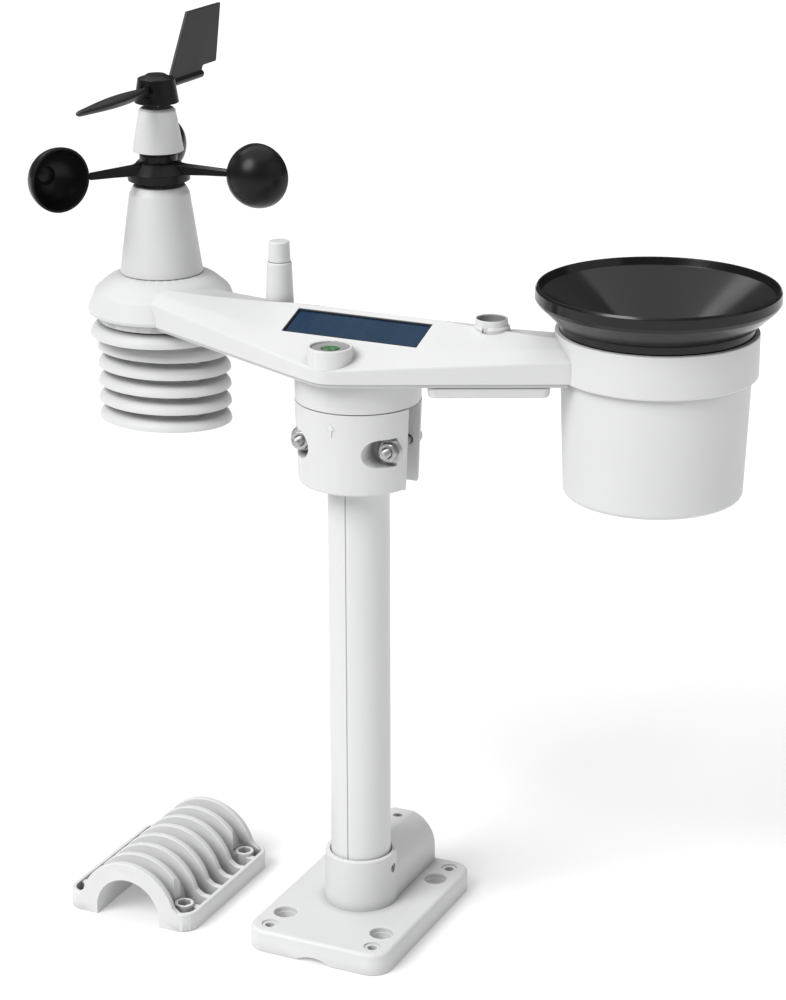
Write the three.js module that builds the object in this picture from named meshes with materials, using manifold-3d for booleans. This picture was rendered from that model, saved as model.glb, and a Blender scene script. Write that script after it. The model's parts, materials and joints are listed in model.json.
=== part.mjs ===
// Pole-mounted weather station: a V-shaped head with a rain gauge on one arm and a wind sensor
// over a radiation shield on the other, clamped to a pole in a rectangular floor base, with the
// spare half clamp lying beside the base.
// Millimetres. +X runs towards the rain gauge, +Y to the back, +Z up.
// While it is built, the pole axis is x = 0, y = 0 and the ground is z = 0.

import * as THREE from 'three';
import { mergeVertices } from 'three/addons/utils/BufferGeometryUtils.js';
import Module from 'manifold-3d';

const wasm = await Module();
wasm.setup();

// ---------------------------------------------------------------- driving dimensions

const GAP = 0.3;                 // play between neighbouring pieces
const ROUND = 24;                // sides of a large round piece
const FINE = 36;                 // sides of the widest round pieces
const SMALL = 12;                // sides of a small round piece
const FAR = 900;                 // longer than any piece, for cuts that go right through

const BASE = { halfX: 44.5, halfY: 64.5, thickness: 13.5, corner: 12, bevel: 1.6 };
const BOLT_HOLE = { x: 31, y: 37.6, radius: 6.7 };
const SCREW_HOLE = { x: 32.8, y: 54.1, radius: 2.4, sink: 4.8, depth: 2.6 };
const SOCKET = { radius: 20.6, top: 45, bore: 17.8, floor: 10 };
const SIDE_SOCKET = { radius: 20.5, axisZ: 23.5, front: 0, back: 61, bore: 17.9, boreFrom: 23 };
const SOCKET_SCREW = { radius: 2.5, z: 35.8, y: 51 };
const CHANNEL = { radius: 20, rise: 3.5 };

const POLE = { radius: 17.5, wall: 1.6, bottom: 10.3, top: 334 };
const SEAM = { x: 0.6, halfWidth: 0.3, depth: 0.4 };

const CLAMP = { bottom: 274, top: 321, highRadius: 35.4, lowRadius: 33.6, bore: 17.8 };
const SPLIT = { front: -7.5, rear: 8 };
const BOLT = { x: 26.8, z: 298, radius: 2.5, hole: 2.8, head: 4.6, headFrom: 15.3, headTo: 19.2, tip: -25.5 };
const SEAT = { nutY: -15, headY: 15, radius: 7 };
const NUT = { acrossFlats: 10, flange: 6, height: 4.7 };

const HEAD = { bottom: 341.6, skin: 2.8, apexY: -50.7, apexRound: 6, armSlope: 0.473 };
const TRAY = { bottom: 339.2, top: 341.3, inset: 1.3, neck: 321.4 };
const WIND = { x: -153.9, y: 53.4 };
const RAIN = { x: 154.8, y: 53.4 };
const RAIN_RING = { radius: 55.7, inner: 53.4, bottom: 340.3, top: 364.7 };

const PANEL = { y: -1.5, z: 361.5, tilt: Math.atan(0.355), halfX: 41, halfY: 11.6, depth: 1.6 };
const LEVEL = { x: 0.3, y: -34.8, radius: 12.35, inner: 10.9, top: 359.6, vial: 5.3 };
const LIGHT = { x: 70.5, y: 22, radius: 10.05, rim: 365.6, collar: 8.9, inner: 8.2, top: 369.3, bottom: 356.6 };
const ANTENNA = { x: -61, y: 25, bottom: 359, step: 386.5, top: 398.3 };

const ARM_TURN = Math.atan(HEAD.armSlope);
const BAY = { u0: 37.5, u1: 104, v0: -43.2, v1: 4.8, bottom: 333, wall: 2 };
const CELL = { radius: 7.1, length: 49.5, z: 343, spacing: 14.6, firstV: -33.8, u: 46 };

const CUPS = { z: 427, reach: 65, radius: 18.8, wall: 1.5, phase: 121.5 };
const VANE = { z: 472.5, heading: -90, noseLength: 87, rodLength: 52, stubFrom: 8.6 };
const CORE = { radius: 5, bore: 5.3, bottom: 402, top: 457.6 };

const LOUVRE = { halfX: 41.5, halfY: 33, topRadius: 43, firstZ: 328, pitch: 10.6, count: 6 };
const ROD = { radius: 2, hole: 2.3, spacer: 4, ringX: 29.5, ringY: 21 };

const BUCKET = { floor: 271.4, top: 363.5 };
const TIPPER = { z: 306, length: 32, halfWidth: 12, turn: 18, axle: 1.5, hole: 1.75 };

const LOOSE = { x: -122.3, y: -13.3, halfX: 42.3, halfY: 50.8, flange: 11.5, inner: 21, axisZ: 5 };

// ---------------------------------------------------------------- materials

const LOOKS = {
  white: [0xe9eaea, 0.5, 0.0],
  pole: [0xe4e5e6, 0.42, 0.0],
  black: [0x0d0d0e, 0.22, 0.0],
  steel: [0xa9abad, 0.3, 1.0],
  solar: [0x12304d, 0.18, 0.0],
  trim: [0x16171a, 0.4, 0.0],
  green: [0x1f6f2c, 0.12, 0.0],
  clear: [0xdfe8e4, 0.05, 0.0],
  diffuser: [0xb9bcbd, 0.35, 0.0],
  cell: [0x6d7378, 0.35, 0.6],
  board: [0x24593a, 0.55, 0.0],
};

function material(look) {
  const [color, roughness, metalness] = LOOKS[look];
  return new THREE.MeshStandardMaterial({ color, roughness, metalness });
}

// ---------------------------------------------------------------- shapes

// Each helper returns a closed BufferGeometry; join, cut and common turn them into solids.

// A profile of [radius, height] pairs turned about the vertical line through x, y.
function lathe(profile, { x = 0, y = 0, sides = ROUND } = {}) {
  const points = profile.map(([radius, z]) => new THREE.Vector2(radius, z));
  const geometry = new THREE.LatheGeometry(points, sides);
  return geometry.rotateX(Math.PI / 2).translate(x, y, 0);
}

function cone(bottomRadius, topRadius, z0, z1, place = {}) {
  return lathe([[0, z0], [bottomRadius, z0], [topRadius, z1], [0, z1]], place);
}

function cylinder(radius, z0, z1, place = {}) {
  return cone(radius, radius, z0, z1, place);
}

function tube(outer, inner, z0, z1, place = {}) {
  return lathe([[inner, z0], [outer, z0], [outer, z1], [inner, z1], [inner, z0]], place);
}

function box(x0, x1, y0, y1, z0, z1) {
  const geometry = new THREE.BoxGeometry(x1 - x0, y1 - y0, z1 - z0);
  return geometry.translate((x0 + x1) / 2, (y0 + y1) / 2, (z0 + z1) / 2);
}

// A round bar lying along +Y.
function barY(radius, y0, y1, { x = 0, z = 0, sides = SMALL } = {}) {
  return cylinder(radius, y0, y1, { sides }).rotateX(-Math.PI / 2).translate(x, 0, z);
}

function barX(radius, x0, x1, { y = 0, z = 0, sides = SMALL } = {}) {
  return cylinder(radius, x0, x1, { sides }).rotateY(Math.PI / 2).translate(0, y, z);
}

function prism(points, z0, z1) {
  const shape = new THREE.Shape(points.map(([x, y]) => new THREE.Vector2(x, y)));
  const geometry = new THREE.ExtrudeGeometry(shape, { depth: z1 - z0, bevelEnabled: false });
  return geometry.translate(0, 0, z0);
}

// An outline of [x, z] points drawn out along +Y.
function prismY(points, y0, y1) {
  return prism(points, -y1, -y0).rotateX(Math.PI / 2);
}

function arc(centreX, centreY, radius, from, to, steps) {
  return Array.from({ length: steps + 1 }, (unused, i) => {
    const angle = from + (to - from) * i / steps;
    return [centreX + radius * Math.cos(angle), centreY + radius * Math.sin(angle)];
  });
}

function hexagon(acrossFlats) {
  return arc(0, 0, acrossFlats / Math.sqrt(3), 0, Math.PI * 5 / 3, 5);
}

function roundedRectangle(halfX, halfY, corner, steps = 4) {
  const turn = Math.PI / 2;
  const centres = [[1, 1], [-1, 1], [-1, -1], [1, -1]];
  return centres.flatMap(([sx, sy], quarter) => arc(
    sx * (halfX - corner), sy * (halfY - corner), corner, quarter * turn, (quarter + 1) * turn, steps,
  ));
}

// A closed body through rings of equal point count; each ring is a list of [x, y, z].
function loft(rings) {
  const count = rings[0].length;
  const index = [];
  for (let ring = 0; ring < rings.length - 1; ring += 1) {
    for (let i = 0; i < count; i += 1) {
      const a = ring * count + i;
      const b = ring * count + (i + 1) % count;
      index.push(a, b, a + count, b, b + count, a + count);
    }
  }
  const last = (rings.length - 1) * count;
  const cap = THREE.ShapeUtils.triangulateShape(flatten(rings[0]), []);
  cap.forEach(([a, b, c]) => index.push(a, c, b, last + a, last + b, last + c));
  const geometry = new THREE.BufferGeometry();
  geometry.setAttribute('position', new THREE.Float32BufferAttribute(rings.flat(2), 3));
  geometry.setIndex(index);
  return geometry;
}

// The ring seen along the axis it is flattest on, as 2-D points wound anticlockwise.
function flatten(ring) {
  const alongX = ring.every(([x]) => Math.abs(x - ring[0][0]) < 1e-6);
  return ring.map(([x, y, z]) => (alongX ? new THREE.Vector2(y, z) : new THREE.Vector2(x, y)));
}

const level = (outline, z) => outline.map(([x, y]) => [x, y, z]);

function weld(geometry) {
  const bare = new THREE.BufferGeometry();
  bare.setAttribute('position', geometry.getAttribute('position'));
  if (geometry.index) bare.setIndex(geometry.index);
  return mergeVertices(bare, 1e-4);
}

function toSolid(shape) {
  if (!(shape instanceof THREE.BufferGeometry)) return shape;
  const welded = weld(shape);
  const mesh = new wasm.Mesh({
    numProp: 3,
    vertProperties: Float32Array.from(welded.attributes.position.array),
    triVerts: Uint32Array.from(welded.index.array),
  });
  return new wasm.Manifold(mesh);
}

const join = (...shapes) => shapes.map(toSolid).reduce((sum, shape) => sum.add(shape));
const cut = (whole, ...tools) => tools.map(toSolid).reduce((rest, tool) => rest.subtract(tool), toSolid(whole));
const common = (...shapes) => shapes.map(toSolid).reduce((rest, shape) => rest.intersect(shape));

// ---------------------------------------------------------------- the assembly

const group = new THREE.Group();
group.name = 'weather_station';

function addNode(name, shape, look, { turnZ = 0, position = [0, 0, 0] } = {}) {
  const mesh = toSolid(shape).getMesh();
  const geometry = new THREE.BufferGeometry();
  geometry.setAttribute('position', new THREE.Float32BufferAttribute(mesh.vertProperties, 3));
  geometry.setIndex(new THREE.Uint32BufferAttribute(mesh.triVerts, 1));
  geometry.computeVertexNormals();
  const node = new THREE.Mesh(geometry, material(look));
  node.name = name;
  node.rotation.z = turnZ;
  node.position.set(...position);
  group.add(node);
}

const degrees = (angle) => angle * Math.PI / 180;
const bothSides = [-1, 1];
const corners = [[-1, -1], [1, -1], [1, 1], [-1, 1]];

// ---------------------------------------------------------------- base and pole

function basePlate() {
  const { halfX, halfY, thickness, corner, bevel } = BASE;
  const edge = roundedRectangle(halfX, halfY, corner);
  const rim = roundedRectangle(halfX - bevel, halfY - bevel, corner - bevel);
  return loft([level(edge, 0), level(edge, thickness - bevel), level(rim, thickness)]);
}

// The second socket lies along the plate behind the upright one and opens to the back.
function sideSocket() {
  const { radius, axisZ, front, back } = SIDE_SOCKET;
  const outline = [[-radius, 6], [radius, 6], ...arc(0, axisZ, radius, 0, Math.PI, SMALL)];
  return prismY(outline, front, back);
}

function base() {
  const body = join(basePlate(), sideSocket(), cylinder(SOCKET.radius, 6, SOCKET.top));
  const boltHoles = corners.map(([sx, sy]) => cylinder(
    BOLT_HOLE.radius, -1, FAR, { x: sx * BOLT_HOLE.x, y: sy * BOLT_HOLE.y, sides: SMALL + 2 },
  ));
  const screwHoles = corners.flatMap(([sx, sy]) => {
    const place = { x: sx * SCREW_HOLE.x, y: sy * SCREW_HOLE.y, sides: SMALL };
    const sinkFloor = BASE.thickness - SCREW_HOLE.depth;
    return [
      cylinder(SCREW_HOLE.radius, -1, FAR, place),
      cylinder(SCREW_HOLE.sink, sinkFloor, FAR, place),
    ];
  });
  const channelZ = CHANNEL.rise - CHANNEL.radius;
  const screwBore = SOCKET_SCREW.radius + GAP;
  return cut(
    body,
    ...boltHoles,
    ...screwHoles,
    cylinder(SOCKET.bore, SOCKET.floor, FAR),
    barY(SIDE_SOCKET.bore, SIDE_SOCKET.boreFrom, FAR, { z: SIDE_SOCKET.axisZ, sides: ROUND }),
    barY(CHANNEL.radius, -FAR, FAR, { z: channelZ, sides: FINE }),
    barX(screwBore, POLE.radius - 2, FAR, { z: SOCKET_SCREW.z }),
    cylinder(screwBore, 38, FAR, { y: SOCKET_SCREW.y, sides: SMALL }),
  );
}

// A headless screw with a hexagon recess, standing along +Z from z = 0.
function setScrew(length) {
  const { radius } = SOCKET_SCREW;
  return cut(cylinder(radius, 0, length, { sides: SMALL }), prism(hexagon(2.5), length - 1.4, FAR));
}

function poleTube() {
  const { radius, wall, bottom, top } = POLE;
  const groove = box(
    SEAM.x - SEAM.halfWidth, SEAM.x + SEAM.halfWidth, -radius - 1, -radius + SEAM.depth, 0, FAR,
  );
  return cut(tube(radius, radius - wall, bottom, top), groove);
}

function screwNode(name, axis, position) {
  const node = group.getObjectByName(name);
  if (axis === 'x') node.rotation.y = Math.PI / 2;
  node.position.set(...position);
}

addNode('base_plate', base(), 'white');
addNode('socket_screw', setScrew(2.4), 'steel');
screwNode('socket_screw', 'x', [POLE.radius + GAP, 0, SOCKET_SCREW.z]);
addNode('side_socket_screw', setScrew(1.8), 'steel');
screwNode('side_socket_screw', 'z', [0, SOCKET_SCREW.y, 41.8]);
addNode('pole', poleTube(), 'pole');

// ---------------------------------------------------------------- clamp under the head

function clampBody(keepFrom, keepTo) {
  const { bottom, top, highRadius, lowRadius, bore } = CLAMP;
  const edge = 1.2;
  const profile = [
    [bore, bottom], [lowRadius - edge, bottom], [lowRadius, bottom + edge],
    [highRadius, top], [bore, top], [bore, bottom],
  ];
  return common(lathe(profile, { sides: FINE }), box(-FAR, FAR, keepFrom, keepTo, 0, FAR));
}

// Hollows that open downwards, between the bore wall and the outer wall.
function clampHollows(side) {
  const ringSector = (from, to) => {
    const outline = [
      ...arc(0, 0, CLAMP.lowRadius - 3, from, to, 6),
      ...arc(0, 0, CLAMP.bore + 2.6, to, from, 6),
    ];
    return prism(outline, 0, CLAMP.top - 4);
  };
  const middle = side * Math.PI / 2;
  return bothSides.map((way) => ringSector(middle + Math.min(way, 0) * 0.52 + 0.06,
    middle + Math.max(way, 0) * 0.52 - 0.06));
}

const clampHoles = () => bothSides.map((side) => barY(
  BOLT.hole, -FAR, FAR, { x: side * BOLT.x, z: BOLT.z },
));

// An arrow pointing up, raised from the front of the clamp.
function arrow() {
  const outline = [[-0.9, -3.6], [0.9, -3.6], [0.9, 0], [2.7, 0], [0, 3.7], [-2.7, 0], [-0.9, 0]];
  return prismY(outline, -CLAMP.highRadius - 0.3, -CLAMP.lowRadius + 2).translate(0, 0, 312);
}

// Slots cut in from the front or the back, down to the seats of the nuts or bolt heads.
function seatSlots(y0, y1) {
  return bothSides.flatMap((side) => {
    const [from, to] = side > 0 ? [BOLT.x, FAR] : [-FAR, -BOLT.x];
    return [
      box(from, to, y0, y1, BOLT.z - SEAT.radius, BOLT.z + SEAT.radius),
      barY(SEAT.radius, y0, y1, { x: side * BOLT.x, z: BOLT.z }),
    ];
  });
}

function clampFrontHalf() {
  const slots = seatSlots(-FAR, SEAT.nutY);
  const body = cut(clampBody(-FAR, SPLIT.front), ...slots, ...clampHoles(), ...clampHollows(-1));
  return join(body, arrow());
}

function clampRearHalf() {
  const slots = seatSlots(SEAT.headY, FAR);
  return cut(clampBody(SPLIT.rear, FAR), ...slots, ...clampHoles(), ...clampHollows(1));
}

function clampBolt() {
  const head = barY(BOLT.head, BOLT.headFrom, BOLT.headTo);
  return join(head, barY(BOLT.radius, BOLT.tip, BOLT.headFrom + 1));
}

function clampNut() {
  const seat = GAP - SEAT.nutY;
  const body = prism(hexagon(NUT.acrossFlats), seat, seat + NUT.height).rotateX(Math.PI / 2);
  const flange = barY(NUT.flange, -seat - 1.1, -seat);
  return cut(join(body, flange), barY(BOLT.hole, -FAR, FAR));
}

addNode('clamp_front_half', clampFrontHalf(), 'white');
addNode('clamp_rear_half', clampRearHalf(), 'white');
for (const [side, name] of [[-1, 'left'], [1, 'right']]) {
  const position = [side * BOLT.x, 0, BOLT.z];
  addNode(`clamp_bolt_${name}`, clampBolt(), 'steel', { position });
  addNode(`clamp_nut_${name}`, clampNut(), 'steel', { position });
}

// ---------------------------------------------------------------- head shell

const frontY = (x) => HEAD.apexY + HEAD.armSlope * Math.hypot(x, HEAD.apexRound);
const backY = (x) => 38 + 0.075 * Math.abs(x) + 0.00055 * x * x;
const beyondPanel = (x) => Math.max(0, Math.abs(x) - 45);

// The cross-section of the arms at x, shrunk by inset on every side, from the lower back up
// over the ridge to the lower front.
function headSection(x, inset, floor) {
  const front = frontY(x) + inset;
  const back = backY(x) - inset;
  const far = beyondPanel(x);
  const frontTop = 349.4 + 0.037 * Math.abs(x) - inset;
  const backTop = 359.5 - Math.min(1.2, 0.05 * far) - inset;
  const ridge = 366.8 - 0.11 * far + 0.0005 * far * far - inset;
  return [
    [x, front, floor],
    [x, back, floor],
    [x, back, backTop - 2.4],
    [x, back - 2, backTop],
    [x, 13.5 + 0.15 * far, ridge],
    [x, -14.5 + 0.4 * far, 356.9 + 0.025 * far - inset],
    [x, front + 1.3, frontTop],
    [x, front, frontTop - 1.3],
  ];
}

const STATIONS = [0, 3, 7, 14, 28, 45, 65, 88, 112, 135, 152];

function arms(inset, floor) {
  const left = STATIONS.slice(1).reverse().map((x) => -x);
  return loft([...left, ...STATIONS].map((x) => headSection(x, inset, floor)));
}

function windDome(shrink) {
  const profile = [
    [0, HEAD.bottom - shrink], [43.8 - shrink, HEAD.bottom - shrink], [44 - shrink, 343.2],
    [40.3 - shrink, 353.5], [37.2 - shrink, 357.4 - shrink / 2], [30.5 - shrink / 2, 361.8 - shrink],
    [24.9, 364.3 - shrink], [0, 364.3 - shrink],
  ];
  return lathe(profile, { ...WIND, sides: FINE });
}

const panelPlace = (shape) => shape.rotateX(PANEL.tilt).translate(0, PANEL.y, PANEL.z);

function levelBoss() {
  return cylinder(LEVEL.radius, 349, LEVEL.top, { x: LEVEL.x, y: LEVEL.y });
}

function topCover() {
  const shell = join(
    arms(0, HEAD.bottom),
    windDome(0),
    cylinder(RAIN_RING.radius, RAIN_RING.bottom, RAIN_RING.top, { ...RAIN, sides: FINE }),
  );
  const keepRain = cylinder(RAIN_RING.radius + 2.4, 0, FAR, { ...RAIN, sides: FINE });
  const cavity = cut(arms(HEAD.skin, HEAD.bottom - 1), keepRain);
  const hollow = cut(
    shell,
    cavity,
    windDome(HEAD.skin),
    cylinder(21, 350, FAR, WIND),
    cylinder(RAIN_RING.inner, 0, FAR, { ...RAIN, sides: FINE }),
  );
  const recess = panelPlace(box(
    -PANEL.halfX, PANEL.halfX, -PANEL.halfY, PANEL.halfY, -PANEL.depth, 6,
  ));
  return cut(
    join(hollow, levelBoss()),
    recess,
    cylinder(LEVEL.inner, LEVEL.top - 1.4, FAR, { x: LEVEL.x, y: LEVEL.y }),
    cylinder(LEVEL.vial + GAP, 352, FAR, { x: LEVEL.x, y: LEVEL.y }),
    cylinder(LIGHT.radius + GAP, 350, FAR, { x: LIGHT.x, y: LIGHT.y }),
    cylinder(8.2, 350, FAR, { x: ANTENNA.x, y: ANTENNA.y }),
  );
}

// The floor of the head: a flat tray with the neck that sits on the clamp.
function trayOutline() {
  const xs = [-150, -110, -75, -40, -10, 0, 10, 40, 75, 110, 150];
  const { inset } = TRAY;
  const front = xs.map((x) => [x, frontY(x) + inset]);
  const back = xs.map((x) => [x, backY(x) - inset]).reverse();
  return [...front, ...back];
}

// A box in the right arm's own directions, u along the arm and v across it to the back.
function armBox(u0, u1, v0, v1, z0, z1) {
  return box(u0, u1, v0, v1, z0, z1).rotateZ(ARM_TURN);
}

function tray() {
  const { bottom, top, neck } = TRAY;
  const { u0, u1, v0, v1, wall } = BAY;
  const body = join(
    prism(trayOutline(), bottom, top),
    cylinder(39.6, bottom, top, { ...WIND, sides: FINE }),
    tube(38, 35.5, 336.4, bottom + 1, WIND),
    cylinder(35.5, neck, bottom + 1),
  );
  return cut(
    body,
    cylinder(CLAMP.bore, 0, POLE.top + GAP),
    cylinder(9, 0, FAR),
    cylinder(RAIN_RING.radius + GAP, 0, FAR, { ...RAIN, sides: FINE }),
    cylinder(15, 0, FAR, WIND),
    armBox(u0 + wall, u1 - wall, v0 + wall, v1 - wall, bottom - 1, FAR),
  );
}

addNode('head_cover', topCover(), 'white');
addNode('head_tray', tray(), 'white');

// ---------------------------------------------------------------- fittings on the head

// A slab in the tilted solar recess, smaller than the recess by the given margin all round.
function panelSlab(margin, z0, z1) {
  const x = PANEL.halfX - margin;
  const y = PANEL.halfY - margin;
  return panelPlace(box(-x, x, -y, y, z0, z1));
}

// The frame is a shallow dark tray, and the cell lies in it.
function solarFrame() {
  const floor = GAP - PANEL.depth;
  return cut(panelSlab(GAP, floor, -GAP), panelSlab(1.4, floor + 0.5, 1));
}

function solarCell() {
  return panelSlab(1.7, 2 * GAP + 0.5 - PANEL.depth, -0.45);
}

// A notched outer ring with a thin collar that rises inside it.
function lightBezel() {
  const { x, y, radius, rim, collar, inner, top, bottom } = LIGHT;
  const notch = box(x - 0.9, x + 0.9, y - FAR, y, rim - 5.5, FAR);
  const ring = cut(cylinder(radius, bottom, rim, { x, y }), notch);
  return cut(
    join(ring, cylinder(collar, bottom, top, { x, y })),
    cylinder(inner, bottom + 1.6, FAR, { x, y }),
  );
}

addNode('solar_frame', solarFrame(), 'trim');
addNode('solar_cell', solarCell(), 'solar');
addNode('level_vial', cylinder(LEVEL.vial, 352.3, 357.4, { ...LEVEL, sides: SMALL }), 'green');
addNode('level_lens', cylinder(LEVEL.vial, 357.7, 358.9, { ...LEVEL, sides: SMALL }), 'clear');
addNode('light_bezel', lightBezel(), 'white');
addNode('light_diffuser', cylinder(7.8, 359.5, 366.4, LIGHT), 'diffuser');

function antennaSleeve() {
  const { x, y, bottom, step } = ANTENNA;
  const profile = [
    [0, bottom], [7.9, bottom], [7.9, 364], [7, step - 0.6], [6.6, step], [0, step],
  ];
  return lathe(profile, { x, y });
}

function antennaTip() {
  const { x, y, step, top } = ANTENNA;
  return lathe([[0, step + GAP], [6.4, step + GAP], [6, top - 0.8], [5.2, top], [0, top]], { x, y });
}

addNode('antenna_sleeve', antennaSleeve(), 'white');
addNode('antenna_tip', antennaTip(), 'white');

// ---------------------------------------------------------------- battery bay and board

function batteryDoor() {
  const { u0, u1, v0, v1, bottom, wall } = BAY;
  const top = TRAY.bottom - GAP;
  return cut(
    armBox(u0, u1, v0, v1, bottom, top),
    armBox(u0 + wall, u1 - wall, v0 + wall, v1 - wall, bottom + wall, FAR),
  );
}

function batteryCell(v) {
  const { radius, length, z, u } = CELL;
  const body = barX(radius, u, u + length, { y: v, z });
  const nipple = barX(2.7, u + length - 1, u + length + 1.2, { y: v, z });
  return join(body, nipple);
}

addNode('battery_door', batteryDoor(), 'white');
for (let i = 0; i < 3; i += 1) {
  const v = CELL.firstV + i * CELL.spacing;
  addNode(`battery_cell_${i + 1}`, batteryCell(v), 'cell', { turnZ: ARM_TURN });
}
addNode('main_board', box(-100, -46, -33, 1, 343, 344.6), 'board', { turnZ: -ARM_TURN });

// ---------------------------------------------------------------- wind tower and rotor

function windTower() {
  const spigot = [[18.8, 361], [20.6, 361], [20.6, 364.6]];
  const outside = [[24.4, 364.6], [17.6, 412], [15.2, 416.2]];
  const inside = [
    [CORE.bore, 416.2], [CORE.bore, 406], [8.5, 406], [8.5, 412], [15, 411], [18.8, 370],
  ];
  return lathe([...spigot, ...outside, ...inside, spigot[0]], WIND);
}

function towerCore() {
  const bore = cylinder(1.9, 446, FAR, { ...WIND, sides: SMALL });
  return cut(cylinder(CORE.radius, CORE.bottom, CORE.top, WIND), bore);
}

function rotorHub() {
  const ring = lathe([
    [CORE.bore, 421.6], [16.4, 421.6], [16.4, 419.3], [18.2, 419.3], [18.2, 424], [12.4, 429.6],
    [11, 430.6], [11, 434.6], [CORE.bore, 434.6], [CORE.bore, 421.6],
  ]);
  const arm = (angle) => {
    const reach = CUPS.reach - CUPS.radius - GAP;
    const section = (x, half, low, high) => [
      [x, -half, low], [x, half, low], [x, half * 0.6, high], [x, -half * 0.6, high],
    ];
    const bar = loft([section(10.5, 3.6, 423.4, 430), section(reach, 1.9, 424.6, 429.2)]);
    return bar.rotateZ(angle);
  };
  return join(ring, ...[0, 1, 2].map((i) => arm(degrees(CUPS.phase + 120 * i))));
}

// A hemispherical cup that opens along +Y, with a small boss in its floor.
function cup() {
  const { radius, wall } = CUPS;
  const steps = 6;
  const outer = arc(0, 0, radius, -Math.PI / 2, 0, steps);
  const inner = arc(0, 0, radius - wall, 0, -Math.PI * 0.39, steps - 2);
  const boss = [[4.4, -14], [0, -13]];
  const geometry = lathe([...outer, ...inner, ...boss], { sides: 20 });
  return geometry.rotateX(-Math.PI / 2);
}

addNode('wind_tower', windTower(), 'white');
addNode('tower_core', towerCore(), 'steel');
addNode('rotor_hub', rotorHub(), 'black', { position: [WIND.x, WIND.y, 0] });
for (let i = 0; i < 3; i += 1) {
  const angle = degrees(CUPS.phase + 120 * i);
  const position = [
    WIND.x + CUPS.reach * Math.cos(angle), WIND.y + CUPS.reach * Math.sin(angle), CUPS.z,
  ];
  addNode(`cup_${i + 1}`, cup(), 'black', { turnZ: angle, position });
}

// ---------------------------------------------------------------- vane

function upperCone() {
  const shell = lathe([
    [15, 436.3], [10.9, 459.4], [9.8, 461.5], [2.6, 461.5], [2.6, 459], [8.2, 459],
    [13, 436.3], [15, 436.3],
  ], WIND);
  return join(shell, tube(8.6, CORE.bore, 447, 459.5, WIND));
}

function vaneHub() {
  const cap = lathe([
    [0, 465.4], [10.8, 465.4], [10.9, 463.2], [12.6, 463.2], [10.4, 477.2], [6.8, 479.8], [0, 479.8],
  ]);
  const sockets = barX(2.9, -FAR, -VANE.stubFrom, { z: VANE.z });
  const tailSocket = barX(2.9, VANE.stubFrom, FAR, { z: VANE.z });
  return cut(cap, sockets, tailSocket, cylinder(1.8, 0, 474, { sides: SMALL }));
}

// The nose is a long leaf-shaped blade on a round stub, ending in a blunt tip.
function vaneNose() {
  const section = (x, halfY, halfZ, z) => arc(0, 0, 1, 0, Math.PI * 11 / 6, 11)
    .map(([c, s]) => [x, halfY * c, z + halfZ * s]);
  const start = VANE.stubFrom + GAP;
  const rings = [
    section(start, 2.5, 2.5, VANE.z), section(14, 2.5, 2.5, VANE.z),
    section(24, 3.2, 2.8, VANE.z), section(38, 5.2, 3.2, VANE.z), section(56, 5.4, 3, VANE.z),
    section(76, 3.8, 2.3, VANE.z), section(VANE.noseLength - 3, 2.1, 1.7, VANE.z),
    section(VANE.noseLength, 1.1, 0.9, VANE.z),
  ];
  return loft(rings);
}

// The tail is a round rod with a raked fin standing on it.
function vaneTail() {
  const rod = barX(2.4, VANE.stubFrom + GAP, VANE.rodLength, { z: VANE.z });
  const tip = new THREE.SphereGeometry(2.4, 12, 8).translate(VANE.rodLength, 0, VANE.z);
  const outline = [[12.6, 473], [37.5, 511], [77.5, 511], [70.5, 477.2], [54, 477.2], [52, 473]];
  const fin = prismY(outline, -0.9, 0.9);
  return join(rod, tip, fin);
}

const vanePlace = (turn) => ({
  turnZ: degrees(VANE.heading + turn),
  position: [WIND.x, WIND.y, 0],
});

addNode('upper_cone', upperCone(), 'white');
addNode('vane_shaft', cylinder(1.5, 447, 473.7, { ...WIND, sides: SMALL }), 'steel');
addNode('vane_hub', vaneHub(), 'black', vanePlace(0));
addNode('vane_nose', vaneNose(), 'black', vanePlace(0));
addNode('vane_tail', vaneTail(), 'black', vanePlace(180));

// ---------------------------------------------------------------- radiation shield

const louvreZ = (i) => LOUVRE.firstZ - LOUVRE.pitch * i;

// Pairs of inward distance from the lower rim of a louvre and height above that rim.
function louvreProfile(inner, shoulder) {
  return [
    [0, 0], [0.9, 0.45 * shoulder], [3.2, 0.82 * shoulder], [6.6, shoulder], [inner, shoulder + 1],
    [inner, shoulder - 0.8], [7.6, shoulder - 1.8], [4.4, 0.5 * shoulder], [1.8, 0],
  ];
}

function louvreRing(z, halfX, halfY, inner, shoulder) {
  const profile = louvreProfile(inner, shoulder);
  const count = profile.length;
  const positions = [];
  const index = [];
  const sides = ROUND;
  for (let side = 0; side < sides; side += 1) {
    const angle = side * 2 * Math.PI / sides;
    profile.forEach(([inward, rise]) => positions.push(
      WIND.x + (halfX - inward) * Math.cos(angle), WIND.y + (halfY - inward) * Math.sin(angle), z + rise,
    ));
    for (let i = 0; i < count; i += 1) {
      const a = side * count + i;
      const b = side * count + (i + 1) % count;
      const nextA = (side + 1) % sides * count + i;
      const nextB = (side + 1) % sides * count + (i + 1) % count;
      index.push(a, nextA, b, nextA, nextB, b);
    }
  }
  const geometry = new THREE.BufferGeometry();
  geometry.setAttribute('position', new THREE.Float32BufferAttribute(positions, 3));
  geometry.setIndex(index);
  return geometry;
}

const rodPlaces = [90, 210, 330].map((angle) => ({
  x: WIND.x + ROD.ringX * Math.cos(degrees(angle)),
  y: WIND.y + ROD.ringY * Math.sin(degrees(angle)),
  sides: 8,
}));

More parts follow.
